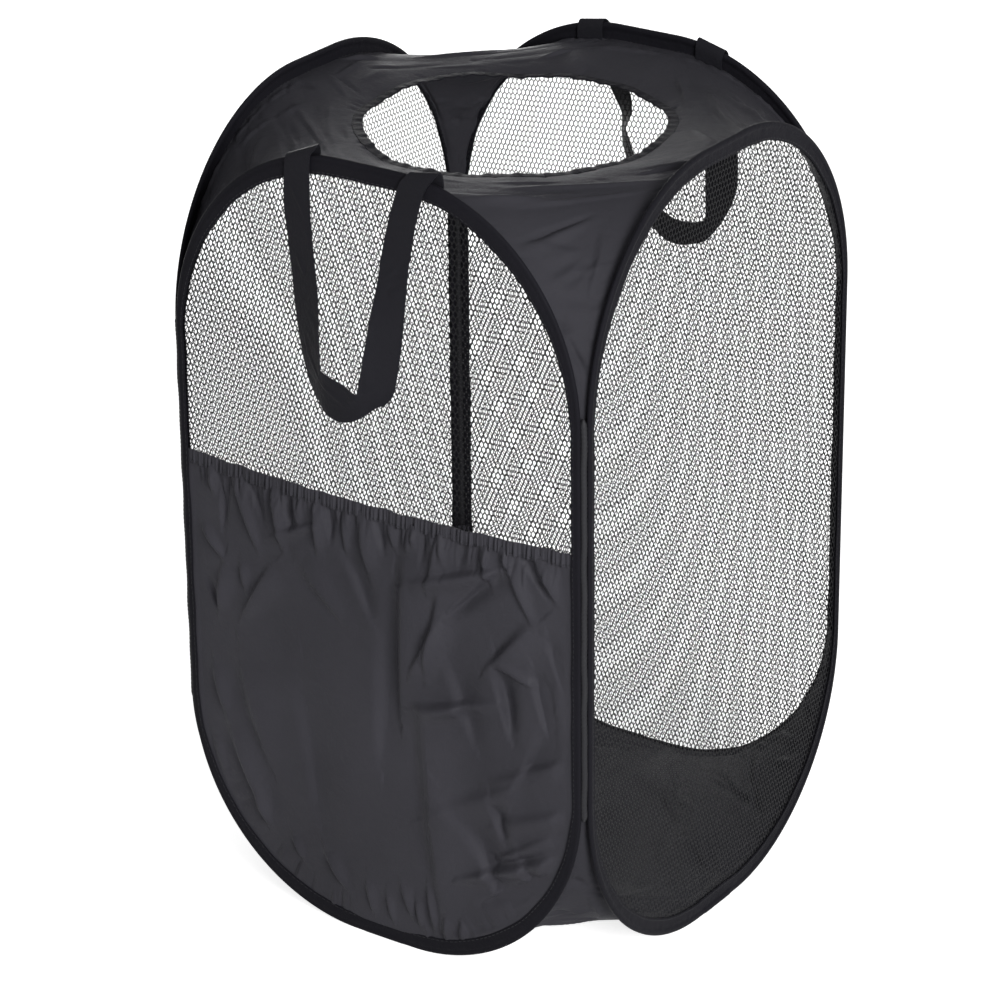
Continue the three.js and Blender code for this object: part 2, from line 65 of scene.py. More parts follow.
WHITE = (1, 1, 1, 1)
FLOOR_HALF = 6
FLOOR_SHADE = (0.8, 0.8, 0.8, 1)
FLOOR_LIFT = 0.775
# where each lamp hangs, how wide it is, and its power
LAMPS = {
    "key_lamp": ((2.5, -1.6, 1.5), 1.2, 108),
    "fill_lamp": ((-1.6, -2.6, 1.7), 1.5, 5),
    "top_lamp": ((0.3, 0.6, 2.9), 1.2, 4),
    "back_lamp": ((-2.2, 2.4, 0.7), 1.4, 34),
}

camera_data = bpy.data.cameras.new("camera")
camera_data.lens = LENS
camera_data.sensor_width = SENSOR
camera_data.clip_end = SIGHT
camera = bpy.data.objects.new("camera", camera_data)
level_share = math.cos(CAMERA_ELEVATION)
toward_camera = Vector((math.sin(CAMERA_AZIMUTH) * level_share, -math.cos(CAMERA_AZIMUTH) * level_share, 0))
toward_camera.z = math.sin(CAMERA_ELEVATION)
turn = toward_camera.to_track_quat("Z", "Y").to_matrix() @ Matrix.Rotation(CAMERA_ROLL, 3, "Z")
camera.matrix_world = Matrix.Translation(LOOK_AT + CAMERA_DISTANCE * toward_camera) @ turn.to_4x4()
bpy.context.scene.collection.objects.link(camera)
bpy.context.scene.camera = camera
bpy.context.scene.view_settings.view_transform = "Standard"

for name, (place, size, power) in LAMPS.items():
    data = bpy.data.lights.new(name, "AREA")
    data.size, data.energy = size, power
    lamp = bpy.data.objects.new(name, data)
    aim = (Vector(place) - LOOK_AT).to_track_quat("Z", "Y").to_matrix().to_4x4()
    lamp.matrix_world = Matrix.Translation(place) @ aim
    bpy.context.scene.collection.objects.link(lamp)


def set_up(tree, made, inputs):
    """Sets a shader node's inputs and properties. What another node gives is linked in."""
    for key, value in inputs.items():
        if isinstance(value, bpy.types.Node):
            value = value.outputs[0]
        if isinstance(key, str) and key not in made.inputs:
            setattr(made, key, value)
        elif isinstance(value, bpy.types.NodeSocket):
            tree.links.new(value, made.inputs[key])
        else:
            made.inputs[key].default_value = value
    return made


def node(tree, kind, *inputs, **settings):
    """Adds a shader node: its inputs in order, or by name together with its properties."""
    made = tree.nodes.new("ShaderNode" + kind)
    return set_up(tree, made, {**dict(enumerate(inputs)), **settings})


def seen_directly(tree):
    """1 for what the camera, a mirror or glass looks at, 0 for the light that lands on things."""
    path = node(tree, "LightPath").outputs
    either = node(tree, "Math", path["Is Camera Ray"], path["Is Glossy Ray"], operation="MAXIMUM")
    return node(tree, "Math", either, path["Is Transmission Ray"], operation="MAXIMUM")


world = bpy.data.worlds.new("studio")
world.use_nodes = True
bpy.context.scene.world = world
sky = world.node_tree
sky.nodes.clear()
lighting = node(sky, "Background", Color=WHITE, Strength=WORLD_LIGHT)
backdrop = node(sky, "Background", Color=WHITE, Strength=1)
node(sky, "OutputWorld", node(sky, "MixShader", seen_directly(sky), lighting, backdrop))

floor_mesh = bpy.data.meshes.new("floor")
floor_corners = [(-1, -1), (1, -1), (1, 1), (-1, 1)]
floor_mesh.from_pydata([(x * FLOOR_HALF, y * FLOOR_HALF, 0) for x, y in floor_corners], [], [(0, 1, 2, 3)])
floor = bpy.data.objects.new("floor", floor_mesh)
bpy.context.scene.collection.objects.link(floor)
floor_paint = bpy.data.materials.new("white_floor")
floor_paint.use_nodes = True
paint = floor_paint.node_tree
paint.nodes.clear()
matt = node(paint, "BsdfDiffuse", Color=FLOOR_SHADE)
lift_level = node(paint, "Math", seen_directly(paint), FLOOR_LIFT, operation="MULTIPLY")
lift = node(paint, "Emission", Color=WHITE, Strength=lift_level)
node(paint, "OutputMaterial", node(paint, "AddShader", matt, lift))
floor_mesh.materials.append(floor_paint)


# Spring wire and ferrules: each panel is held open by one loop of bright spring steel wire,
# its two ends crimped in a short tube at the bottom. The bindings hide them.
PANELS = ["front", "right", "back", "left"]
STEEL_DEEP = (0.5, 0.5, 0.51, 1)
STEEL_PALE = (0.6, 0.6, 0.6, 1)
STEEL_SMOOTH, STEEL_DULL = 0.25, 0.45


def new_material(name):
    """A fresh material, its shader tree, and where each point lies on the piece itself."""
    material = bpy.data.materials.new(name)
    material.use_nodes = True
    tree = material.node_tree
    return material, tree, node(tree, "TexCoord").outputs["Object"]


def surface(tree, inputs):
    """Gives the material's surface its look."""
    set_up(tree, tree.nodes["Principled BSDF"], inputs)


def spread(tree, shade, low, high, start=0):
    """Stretches a shade that runs from start to 1, so that it runs from low to high."""
    return node(tree, "MapRange", shade, start, 1, low, high)


# drawn steel: bright, with fine streaks along it and a few dull spots
steel, tree, place = new_material("spring_steel")
streaks = node(tree, "TexNoise", Vector=place, Scale=900.0, Detail=3.0)
dull = spread(tree, streaks, STEEL_SMOOTH, STEEL_DULL)
shade = node(tree, "MixRGB", streaks, STEEL_DEEP, STEEL_PALE)
surface(tree, {"Metallic": 1, "Base Color": shade, "Roughness": dull})
for panel in PANELS:
    for part in ("wire", "ferrule"):
        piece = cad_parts[f"{panel}_{part}"]
        piece.data.materials.clear()
        piece.data.materials.append(steel)


# Binding tapes: black polyester tape, folded double over the wire and the edge of the net,
# and stitched through both legs along its inner edge. It swells over the ferrule.
PLANE = 0.1781
LOOP_HALF = 0.1746
FLAT_HALF = 0.024
RISE = 0.160
HEIGHT = 0.610
SIDE_BAND = 0.0068
ARCH_BAND = 0.014
BAND_WANDER = 0.0005
TAPE = 0.0005
WIRE_DEPTH = 0.0027
WIRE_ROOM = 0.0014
FERRULE_ROOM = 0.0021
LEG_START = 0.0048
FERRULE_HALF = 0.016
FERRULE_EASE = 0.004
NET_ROOM = 0.0007
POCKET_ROOM = 0.0016
PUCKER = 0.00022
GROOVE_DEPTH = 0.00015
GROOVE_WIDTH = 0.0007
# where the tape's legs have points, from the free edge to the wire, and how it goes round the
# wire: depth from the edge, and share of the wire's room
LEG_SHARES = (1, 0.85, 0.66, 0.45, 0.22, 0)
ROUND_WIRE = [(0.0042, 0.8), (WIRE_DEPTH, 1), (0.0013, 0.83), (0.0007, 0.4)]
STATION_STEP = 0.0025
ARC_LENGTH = 0.244
TAPE_COLOUR = (0.0095, 0.0092, 0.0118, 1)
THREAD_COLOUR = (0.012, 0.012, 0.0145, 1)
THREAD_DEEP = (0.009, 0.009, 0.011, 1)
DEEP_SHARE, PALE_SHARE = 0.75, 1.45
DIP_SHADE, FLECK_SHARE = 0.6, 0.35
SMOOTHER, ROUGHER = 0.07, 0.1
FUZZ = 0.35
STITCH_LONG = 0.003
STITCH_GAP = 0.0012
STITCH_RADIUS = 0.00022
STITCH_INSET = 0.0016
STITCH_SIDES = 6
# rings of one stitch: share of its length, width and height as shares of its radius
STITCH_RINGS = [(0, 0.45, -0.5), (0.22, 1, 0.45), (0.78, 1, 0.45), (1, 0.45, -0.5)]


def arc_stations(across, up, rising, steps):
    """Spokes of a quarter oval corner: root x, root z, and how far each points across and up."""
    swing = np.linspace(0, math.pi / 2, steps, endpoint=False)
    if not rising:
        swing = math.pi / 2 - swing
    root_z = HEIGHT - RISE if up > 0 else RISE
    turned = [np.full(steps, across * FLAT_HALF), np.full(steps, root_z)]
    return np.stack(turned + [across * np.cos(swing), up * np.sin(swing)], -1)


def straight_stations(start, end, across, up, steps):
    """Spokes along a straight stretch between two roots."""
    share = np.linspace(0, 1, steps, endpoint=False)[:, None]
    roots = (1 - share) * np.array(start) + share * np.array(end)
    return np.hstack([roots, np.tile([across, up], (steps, 1))])


LOW, HIGH = RISE, HEIGHT - RISE
ARC_STEPS = round(ARC_LENGTH / STATION_STEP)
SIDE_STEPS = round((HEIGHT - 2 * RISE) / STATION_STEP)
FLAT_STEPS = round(2 * FLAT_HALF / STATION_STEP)
loop = np.vstack(
    [
        straight_stations((-FLAT_HALF, LOW), (FLAT_HALF, LOW), 0, -1, FLAT_STEPS),
        arc_stations(1, -1, False, ARC_STEPS),
        straight_stations((FLAT_HALF, LOW), (FLAT_HALF, HIGH), 1, 0, SIDE_STEPS),
        arc_stations(1, 1, True, ARC_STEPS),
        straight_stations((FLAT_HALF, HIGH), (-FLAT_HALF, HIGH), 0, 1, FLAT_STEPS),
        arc_stations(-1, 1, False, ARC_STEPS),
        straight_stations((-FLAT_HALF, HIGH), (-FLAT_HALF, LOW), -1, 0, SIDE_STEPS),
        arc_stations(-1, -1, True, ARC_STEPS),
    ]
)


def on_spokes(stations, depth):
    """x and z of the points a given depth in from the panel's edge."""
    x = stations[..., 0] + stations[..., 2] * (LOOP_HALF - FLAT_HALF - depth)
    z = stations[..., 1] + stations[..., 3] * (RISE - depth)
    return x, z


def band_width(stations):
    """The tape is broad round the arches and is pulled narrow along the upright sides."""
    return SIDE_BAND + (ARCH_BAND - SIDE_BAND) * np.abs(stations[..., 3])


def on_panel(panel, x, out, z):
    """Row frame points of a drawing on a panel: x across, out from the net's middle, z up."""
    quarter = PANELS.index(panel) * math.pi / 2
    x, out, z = np.broadcast_arrays(x, out, z)
    y = -PLANE - out
    turned = [x * math.cos(quarter) - y * math.sin(quarter), x * math.sin(quarter) + y * math.cos(quarter)]
    return np.stack(turned + [z], -1)


def panel_way(panel, x, out):
    """The direction in the frame of a step across and out on a panel's drawing."""
    return on_panel(panel, x, out, 0) - on_panel(panel, 0, 0, 0)


def along(points):
    """How far each point of a row lies from its first one, measured along it."""
    steps = np.linalg.norm(np.diff(points, axis=0), axis=-1)
    return np.concatenate([[0], np.cumsum(steps)])


def drift(places, waves, seed):
    """A smooth wander between -1 and 1 along a row: a few sines of given lengths, summed."""
    random = np.random.default_rng(seed)
    total = np.zeros_like(places)
    for wave in waves:
        total += np.sin(2 * math.pi * (places / wave + random.random()))
    return total / len(waves)


def eased(share):
    """Turns a share that runs straight from 0 to 1 into one that starts and ends gently."""
    return share * share * (3 - 2 * share)


def piece_from(name, points, faces, material, uv=None):
    """Makes one piece of the hamper from its points and faces, smooth shaded."""
    mesh = bpy.data.meshes.new(name)
    mesh.from_pydata(np.reshape(points, (-1, 3)).tolist(), [], [list(map(int, f)) for f in faces])
    mesh.polygons.foreach_set("use_smooth", np.ones(len(mesh.polygons), bool))
    if uv is not None:
        layer = mesh.uv_layers.new(name="cloth")
        layer.data.foreach_set("uv", np.reshape(uv, -1).astype(np.float32))
    mesh.materials.append(material)
    piece = bpy.data.objects.new(name, mesh)
    bpy.context.scene.collection.objects.link(piece)
    return piece


def woven_grid(rows, columns, round_rows=False, round_columns=False):
    """Faces of a grid of points, and the row and column of each of their corners."""
    i = np.arange(rows if round_rows else rows - 1)
    j = np.arange(columns if round_columns else columns - 1)
    i, j = np.meshgrid(i, j, indexing="ij")
    corners = [(i, j), (i + 1, j), (i + 1, j + 1), (i, j + 1)]
    faces = np.stack([(a % rows) * columns + b % columns for a, b in corners], -1)
    places = np.stack([np.stack(c, -1) for c in corners], -2)
    return faces.reshape(-1, 4), places.reshape(-1, 4, 2)


def shaded(colour, share):
    """The colour, darker or paler."""
    return tuple(min(1, c * share) for c in colour[:3]) + (1,)


def woven_cloth(name, colour, spacing, roughness, shine, sheen, crease):
    """Plain woven polyester: crossing threads, a shade that drifts a little, a soft shine."""
    material, tree, place = new_material(name)
    lie = node(tree, "SeparateXYZ", node(tree, "UVMap", uv_map="cloth")).outputs
    ridges = []
    for side in ("X", "Y"):
        count = node(tree, "Math", lie[side], 2 * math.pi / spacing, operation="MULTIPLY")
        ridges.append(node(tree, "Math", count, operation="SINE"))
    crossing = node(tree, "Math", *ridges, operation="MULTIPLY")
    slubs = node(tree, "TexNoise", Vector=place, Scale=crease, Detail=6.0, Roughness=0.62)
    drifts = node(tree, "TexNoise", Vector=place, Scale=9.0, Detail=3.0)
    shade = node(tree, "MixRGB", drifts, shaded(colour, DEEP_SHARE), shaded(colour, PALE_SHARE))
    grey = spread(tree, crossing, DIP_SHADE, 1, start=-1)
    fleck = node(tree, "MixRGB", Fac=FLECK_SHARE, Color1=shade, Color2=grey, blend_type="MULTIPLY")
    dull = spread(tree, slubs, roughness - SMOOTHER, roughness + ROUGHER)
    weave = node(tree, "Bump", Strength=0.35, Distance=0.00006, Height=crossing)
    crumple = node(tree, "Bump", Strength=0.5, Distance=0.0012, Height=slubs, Normal=weave)
    surface(tree, {"Base Color": fleck, "Roughness": dull, "Normal": crumple})
    surface(tree, {"Specular IOR Level": shine, "Sheen Weight": sheen, "Sheen Roughness": FUZZ})
    return material


def stitches(name, rows, radius):
    """Stitches along rows of points, each a short thread that dives into the cloth at its ends."""
    starts, ends, lifts = [], [], []
    for row, facing in rows:
        places = along(row)
        count = int(places[-1] / (STITCH_LONG + STITCH_GAP))
        start = np.arange(count) * places[-1] / count
        end = start + STITCH_LONG * places[-1] / count / (STITCH_LONG + STITCH_GAP)
        for spots, store in ((start, starts), (end, ends)):
            store.append(np.stack([np.interp(spots, places, row[:, k]) for k in range(3)], -1))
        lifts.append(np.tile(facing, (count, 1)))
    starts, ends, lifts = np.vstack(starts), np.vstack(ends), np.vstack(lifts)
    run = ends - starts
    run /= np.linalg.norm(run, axis=1, keepdims=True)
    side = np.cross(run, lifts)
    side /= np.linalg.norm(side, axis=1, keepdims=True)
    rings = []
    for share, width, height in STITCH_RINGS:
        middle = starts + share * (ends - starts) + height * radius * lifts
        for k in range(STITCH_SIDES):
            turn = 2 * math.pi * k / STITCH_SIDES
            rings.append(middle + width * radius * (math.cos(turn) * side + 0.75 * math.sin(turn) * lifts))
    points = np.stack(rings, 1)
    count = len(rings)
    walls = np.roll(woven_grid(len(STITCH_RINGS), STITCH_SIDES, False, True)[0][:, ::-1], 1, axis=1)
    caps = np.array([range(STITCH_SIDES)[::-1], range(count - STITCH_SIDES, count)])
    first = np.arange(len(starts))[:, None, None] * count
    faces = (first + walls).reshape(-1, 4).tolist() + (first + caps).reshape(-1, STITCH_SIDES).tolist()
    return piece_from(name, points, faces, thread)


# sewing thread: dark polyester with a faint twist along it
thread, tree, place = new_material("sewing_thread")
twist = node(tree, "TexNoise", Vector=place, Scale=1500.0, Detail=2.0)
surface(tree, {"Base Color": node(tree, "MixRGB", twist, THREAD_DEEP, THREAD_COLOUR), "Roughness": 0.55})
surface(tree, {"Specular IOR Level": 0.2, "Sheen Weight": 0.03})

tape_cloth = woven_cloth(
    "binding_tape", TAPE_COLOUR, spacing=0.0004, roughness=0.45, shine=0.02, sheen=0.002, crease=260
)
for seed, panel in enumerate(PANELS):
    outer_room = POCKET_ROOM if panel == "front" else NET_ROOM
    edge = on_panel(panel, on_spokes(loop, 0)[0], 0, on_spokes(loop, 0)[1])
    run = along(np.vstack([edge, edge[:1]]))
    width = band_width(loop) + BAND_WANDER * drift(run[:-1], (0.041, 0.067, 0.113), seed)
    bottom_flat = (loop[:, 2] == 0) & (loop[:, 3] < 0)
    near = np.where(bottom_flat, np.abs(loop[:, 0]), 1)
    swell = eased(np.clip((FERRULE_HALF + FERRULE_EASE - near) / FERRULE_EASE, 0, 1))
    room = WIRE_ROOM + (FERRULE_ROOM - WIRE_ROOM) * swell
    pucker = drift(run[:-1], (0.0083, 0.0127, 0.0191), 10 + seed)

    def leg(share, room_at_edge):
        """Depth and half thickness along one leg of the tape, from the wire to its free edge."""
        depth = LEG_START + share * (width - LEG_START)
        ripple = PUCKER * pucker * math.sin(math.pi * min(1, share + 0.35))
        from_seam = (1 - share) * (width.mean() - LEG_START) - STITCH_INSET
        return depth, room_at_edge + ripple - GROOVE_DEPTH * math.exp(-((from_seam / GROOVE_WIDTH) ** 2))

    outline = [leg(share, outer_room) for share in LEG_SHARES]
    outline += [(depth, room * share) for depth, share in ROUND_WIRE]
    outline += [(depth, -room * share) for depth, share in reversed(ROUND_WIRE)]
    outline += [(depth, -half) for depth, half in (leg(share, NET_ROOM) for share in reversed(LEG_SHARES))]
    fold = np.stack([np.stack(np.broadcast_arrays(run[:-1], *part)[1:], -1) for part in outline], 1)
    tangent = np.gradient(fold, axis=1)
    tangent /= np.linalg.norm(tangent, axis=-1, keepdims=True)
    outer = fold + TAPE * np.stack([tangent[..., 1], -tangent[..., 0]], -1)
    section = np.concatenate([fold, outer[:, ::-1]], 1)
    stations = np.repeat(loop[:, None, :], section.shape[1], 1)
    x, z = on_spokes(stations, section[..., 0])
    points = on_panel(panel, x, section[..., 1], z)
    faces, places = woven_grid(*points.shape[:2], True, True)
    across = along(section[0])
    across = np.concatenate([across, [across[-1] + TAPE]])
    uv = np.stack([run[places[..., 0]], across[places[..., 1]]], -1)
    binding = piece_from(f"{panel}_binding_tape", points, faces, tape_cloth, uv)
    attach(binding, f"{panel}_panel")
    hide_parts(f"{panel}_binding")

    x, z = on_spokes(loop, width - STITCH_INSET)
    lines = []
    for face, half in ((1, outer_room), (-1, NET_ROOM)):
        line = on_panel(panel, x, face * (half + TAPE * 0.8), z)
        lines.append((np.vstack([line, line[:1]]), panel_way(panel, 0, face)))
    sewn = stitches(f"{panel}_binding_stitches", lines, STITCH_RADIUS)
    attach(sewn, f"{panel}_panel")


# Nets: black warp knitted polyester, an open honeycomb of soft yarn. Each net's edge is
# held between the legs of its binding, a few millimetres in from the wire.
CELL_ACROSS = 0.0039
CELL_UP = 0.0042
CELL_UPRIGHT = 0.45
ROWS_BELOW, SPARE_ROWS = 8, 18
YARN = 0.00088
NET_ASKEW = {"front": 0.015, "right": -0.03, "back": -0.1, "left": 0.03}
NET_STRETCH = 0.0004
NET_SLIDE = 0.0003
NET_BOW = 0.0006
STRETCH_UP, STRETCH_ACROSS, SLIDE_ACROSS, BOW_ACROSS, NET_LONG = 0.047, 0.053, 0.031, 0.061, 0.083
KNOT_SCATTER = 0.00007
NET_INSET = 0.0052
YARN_COLOUR = (0.0052, 0.0052, 0.0066, 1)
YARN_DEEP = shaded(YARN_COLOUR, 0.6)
YARN_SMOOTH, YARN_DULL = 0.5, 0.75


def inside_loop(x, z, depth):
    """Whether points lie inside the panel's outline, a given depth in from its edge."""
    half_x, half_z = LOOP_HALF - FLAT_HALF - depth, RISE - depth
    past_x = np.maximum(np.abs(x) - FLAT_HALF, 0) / half_x
    past_z = np.maximum(np.abs(z - HEIGHT / 2) - (HEIGHT / 2 - RISE), 0) / half_z
    return past_x**2 + past_z**2 < 1


# textured yarn: matt, fuzzy at grazing angles, slightly uneven in shade
yarn, tree, place = new_material("net_yarn")
fibres = node(tree, "TexNoise", Vector=place, Scale=1200.0, Detail=3.0)
shade = node(tree, "MixRGB", fibres, YARN_DEEP, YARN_COLOUR)
dull = spread(tree, fibres, YARN_SMOOTH, YARN_DULL)
twist = node(tree, "Bump", Strength=0.5, Distance=0.0002, Height=fibres)
surface(tree, {"Base Color": shade, "Roughness": dull, "Normal": twist})
surface(tree, {"Specular IOR Level": 0.15, "Sheen Weight": 0.04})

columns, rows = int(2 * LOOP_HALF / CELL_ACROSS) + 2, int(HEIGHT / CELL_UP) + SPARE_ROWS
i, j = np.meshgrid(np.arange(columns), np.arange(rows), indexing="ij")
low_x = -CELL_ACROSS * (columns - 1) / 2 + (i + 0.5 * (j % 2)) * CELL_ACROSS
low_z = (j - ROWS_BELOW) * CELL_UP
tall = CELL_UPRIGHT * CELL_UP
slant = np.array([CELL_ACROSS / 2, CELL_UP - tall])
slant /= np.linalg.norm(slant)
# each cell has a lower knot, whose arms go down, left and right, and an upper one above it
arms = {
    "low": np.array([[0, 1], -slant, slant * [1, -1]]),
    "high": np.array([[0, -1], slant, slant * [-1, 1]]),
}
for seed, panel in enumerate(PANELS):
    askew = NET_ASKEW[panel] * low_x
    knots = {"low": (low_x, low_z + askew), "high": (low_x, low_z + askew + tall)}
    random = np.random.default_rng(100 + seed)
    points, number = [], {}
    for kind, (kx, kz) in knots.items():
        stretch_x = NET_STRETCH * np.sin(kz / STRETCH_UP + seed)
        stretch_x = stretch_x + NET_SLIDE * np.sin(kx / SLIDE_ACROSS + kz / NET_LONG)
        stretch_z = NET_STRETCH * np.sin(kx / STRETCH_ACROSS + 2 * seed)
        stretch_z = stretch_z + random.normal(0, KNOT_SCATTER, kx.shape)
        loose_x = random.normal(0, KNOT_SCATTER, kx.shape)
        bow = NET_BOW * np.sin(kx / BOW_ACROSS + seed) * np.sin(kz / NET_LONG)
        for k in range(3):
            between = arms[kind][k] + arms[kind][(k + 1) % 3]
            half_angle = math.acos(np.linalg.norm(between) / 2)
            corner = between / np.linalg.norm(between) * YARN / 2 / math.sin(half_angle)
            x = kx + stretch_x + loose_x + corner[0]
            z = kz + stretch_z + corner[1]
            points.append(on_panel(panel, x, np.clip(bow, -NET_ROOM, NET_ROOM) * 0.8, z).reshape(-1, 3))
            number[kind, k] = len(points) - 1
    points = np.vstack(points)

    def corner_of(kind, k, ci, cj):
        """The number of a knot's corner k, between its arms k and k + 1."""
        return number[kind, k % 3] * columns * rows + ci * rows + cj

    faces = []
    held = {kind: inside_loop(*knots[kind], NET_INSET) for kind in knots}
    for kind in knots:
        ci, cj = np.nonzero(held[kind])
        faces.append(np.stack([corner_of(kind, k, ci, cj) for k in range(3)], -1))
    # upright arm from a low knot to the high knot of the same cell
    ci, cj = np.nonzero(held["low"] & held["high"])
    upright = [corner_of("low", 2, ci, cj), corner_of("low", 0, ci, cj)]
    upright += [corner_of("high", 2, ci, cj), corner_of("high", 0, ci, cj)]
    faces.append(np.stack(upright, -1))
    # slanting arms from a high knot to the low knots of the two cells above it
    for side, arm in ((0, 2), (1, 1)):
        ci, cj = np.nonzero(held["high"])
        ni, nj = ci + (cj % 2) - (1 - side), cj + 1
        fits = (ni >= 0) & (ni < columns) & (nj < rows)
        ci, cj, ni, nj = ci[fits], cj[fits], ni[fits], nj[fits]
        fits = held["low"][ni, nj]
        ci, cj, ni, nj = ci[fits], cj[fits], ni[fits], nj[fits]
        joined = [corner_of("high", arm - 1, ci, cj), corner_of("high", arm, ci, cj)]
        joined += [corner_of("low", arm - 1, ni, nj), corner_of("low", arm, ni, nj)]
        faces.append(np.stack(joined, -1))
    used = np.unique(np.concatenate([group.ravel() for group in faces]))
    faces = [face for group in faces for face in np.searchsorted(used, group).tolist()]
    net = piece_from(f"{panel}_net_mesh", points[used], faces, yarn)
    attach(net, f"{panel}_panel")
    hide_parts(f"{panel}_net")


# Covers: thin charcoal polyester with a pointed gusset at each corner, sewn inside all four
# bindings and drawn tight from arch to arch. The top one has a round, hemmed mouth, the bottom
# one is closed. Each is made in four quarters, one going with each panel.
SEWN_UNDER = 0.0014
COVER_OUT = -0.0014
COVER_SAG = 0.035
COVER_CLOTH = 0.0005
COVER_COLOUR = (0.0315, 0.0308, 0.0362, 1)
MOUTH_RADIUS = 0.1163
MOUTH_HEIGHT = 0.588
FLOOR_RADIUS = 0.118
FLOOR_HEIGHT = 0.012
ARCH_ROWS = 96
CHORD_COLUMNS = 60
FLAT_COLUMNS = 20
MIDDLE_ROWS = 26
HEM_OUTER = 0.1178
HEM_INNER = 0.1096
HEM_HALF = 0.0007
CREASE_TAPER = 0.55
CREASE_STEEP, CREASE_GENTLE = 0.5, -1.0
CREASE_ENDS = (0.04, 0.96)
CREASE_FADE = 0.7
CREASE_DIP = 0.6
FLOOR_RINGS = 48
FLOOR_SLACK = 0.0018
# waves of the mouth's edge, out and up: how far, how many times round, and where they start
MOUTH_WAVES = [
    [(0.0013, 3, 0.6), (0.0009, 7, 2.1)],
    [(0.0012, 2, 1.0), (0.0011, 5, 0.3), (0.0006, 11, 0)],
]
MOUTH_STEPS = 160
MOUTH_SIDES = 14
MOUTH_RIPPLE = 0.12
MOUTH_LIFT = 0.0004
MOUTH_CLOTH_STEP = 0.0013

TINY = 1e-12
UP = np.array([0, 0, 1.0])
AROUND = 4 * (FLAT_COLUMNS + CHORD_COLUMNS)
swing = np.linspace(0, math.pi / 2, ARCH_ROWS + 1)
chord = np.linspace(0, 1, CHORD_COLUMNS + 1)


def sewn_edge(panel, across):
    """Half of the line on a panel's arch where a cover is sewn, from the fold line up."""
    roots = [np.full_like(swing, across * FLAT_HALF), np.full_like(swing, HIGH)]
    stations = np.stack(roots + [across * np.cos(swing), np.sin(swing)], -1)
    x, z = on_spokes(stations, band_width(stations) - SEWN_UNDER)
    return on_panel(panel, x, COVER_OUT, z)


def corner_ways(corner):
    """Level directions at a corner: in towards the middle, and across from arch to arch."""
    turn = corner * math.pi / 2 + 3 * math.pi / 4
    inward = np.array([math.cos(turn), math.sin(turn), 0])
    return inward, np.cross(inward, UP)


def gusset(corner):
    """Cloth in one corner: rows from the fold line up, columns from one arch to the next."""
    start = sewn_edge(PANELS[corner], 1)
    end = sewn_edge(PANELS[(corner + 1) % 4], -1)
    slack = np.cos(swing)[:, None] * corner_ways(corner)[0] - np.sin(swing)[:, None] * UP
    sag = COVER_SAG * np.linalg.norm(end - start, axis=1)[:, None] * np.sin(math.pi * chord)
    drawn = start[:, None] * (1 - chord)[:, None] + end[:, None] * chord[:, None]
    return drawn + sag[..., None] * slack[:, None]


def mouth_wander(turn):
    """How far the mouth strays from a true circle, out and up, where the cloth is uneven."""
    return [sum(far * np.sin(times * turn + start) for far, times, start in waves) for waves in MOUTH_WAVES]


def surface_normals(points, faces):
    """The way a surface looks at each of its points."""
    a, b, c, d = (points[faces[:, k]] for k in range(4))
    looks = np.cross(c - a, d - b)
    total = np.zeros_like(points)
    for k in range(4):
        np.add.at(total, faces[:, k], looks)
    return total / np.maximum(np.linalg.norm(total, axis=1, keepdims=True), TINY)


def creased(points, normals, creases):
    """The cloth with its creases, steeper on one side and narrowing towards their far end."""
    height = np.zeros(len(points))
    for start, end, width, lift, lean in creases:
        run = end - start
        share = np.clip((points - start) @ run / max(run @ run, TINY), 0, 1)
        away = points - start - share[:, None] * run
        steep = np.sign((away * np.cross(run, normals)).sum(1)) * np.sign(lean)
        slope = np.where(steep > 0, CREASE_STEEP, CREASE_GENTLE)
        width = width * (1 - CREASE_TAPER * share) * (1 - abs(lean) * slope)
        off = np.linalg.norm(away, axis=1) / width
        fade = np.sin(math.pi * np.clip(share, *CREASE_ENDS)) ** CREASE_FADE
        height += lift * fade * (1 - CREASE_DIP * off**2) * np.exp(-(off**2))
    return points + height[:, None] * normals


def thick_cloth(name, points, normals, faces, uv, thickness, material):
    """A piece of cloth with its thickness: both faces, and the edge all round it."""
    used, compact = np.unique(faces, return_inverse=True)
    compact = compact.reshape(faces.shape)
    middle, look = points[used], normals[used]
    count = len(used)
    skin = np.vstack([middle + look * thickness / 2, middle - look * thickness / 2])
    start, end = compact, np.roll(compact, -1, axis=1)
    loose = ~np.isin(start * count + end, end * count + start)
    a, b = start[loose], end[loose]
    rim = np.stack([b, a, a + count, b + count], -1)
    rim_look = np.cross(skin[rim[:, 1]] - skin[rim[:, 0]], skin[rim[:, 3]] - skin[rim[:, 0]])
    rim_look /= np.maximum(np.linalg.norm(rim_look, axis=1, keepdims=True), TINY)
    uv_start, uv_end = uv[loose], np.roll(uv, -1, axis=1)[loose]
    rim_uv = np.stack([uv_end, uv_start, uv_start, uv_end], 1)
    all_faces = np.vstack([compact, compact[:, ::-1] + count, rim])
    all_uv = np.vstack([uv, uv[:, ::-1], rim_uv])
    piece = piece_from(name, skin, all_faces, material, all_uv)
    looks = np.vstack([look[compact], -look[compact[:, ::-1]], np.repeat(rim_look[:, None], 4, 1)])
    piece.data.normals_split_custom_set(looks.reshape(-1, 3).tolist())
    return piece


def lies_down(piece, panel):
    """The piece goes with its panel."""
    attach(piece, f"{panel}_panel")
    inward = panel_way(panel, 0, -1)
    on_panel(panel, 0, COVER_OUT, 0)
    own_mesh(piece)


def numbered(grid, store):
    """Puts a grid of points into the store and gives back their numbers."""
    first = sum(len(rows) for rows in store)
    store.append(grid.reshape(-1, 3))
    return first + np.arange(grid.shape[0] * grid.shape[1]).reshape(grid.shape[:2])


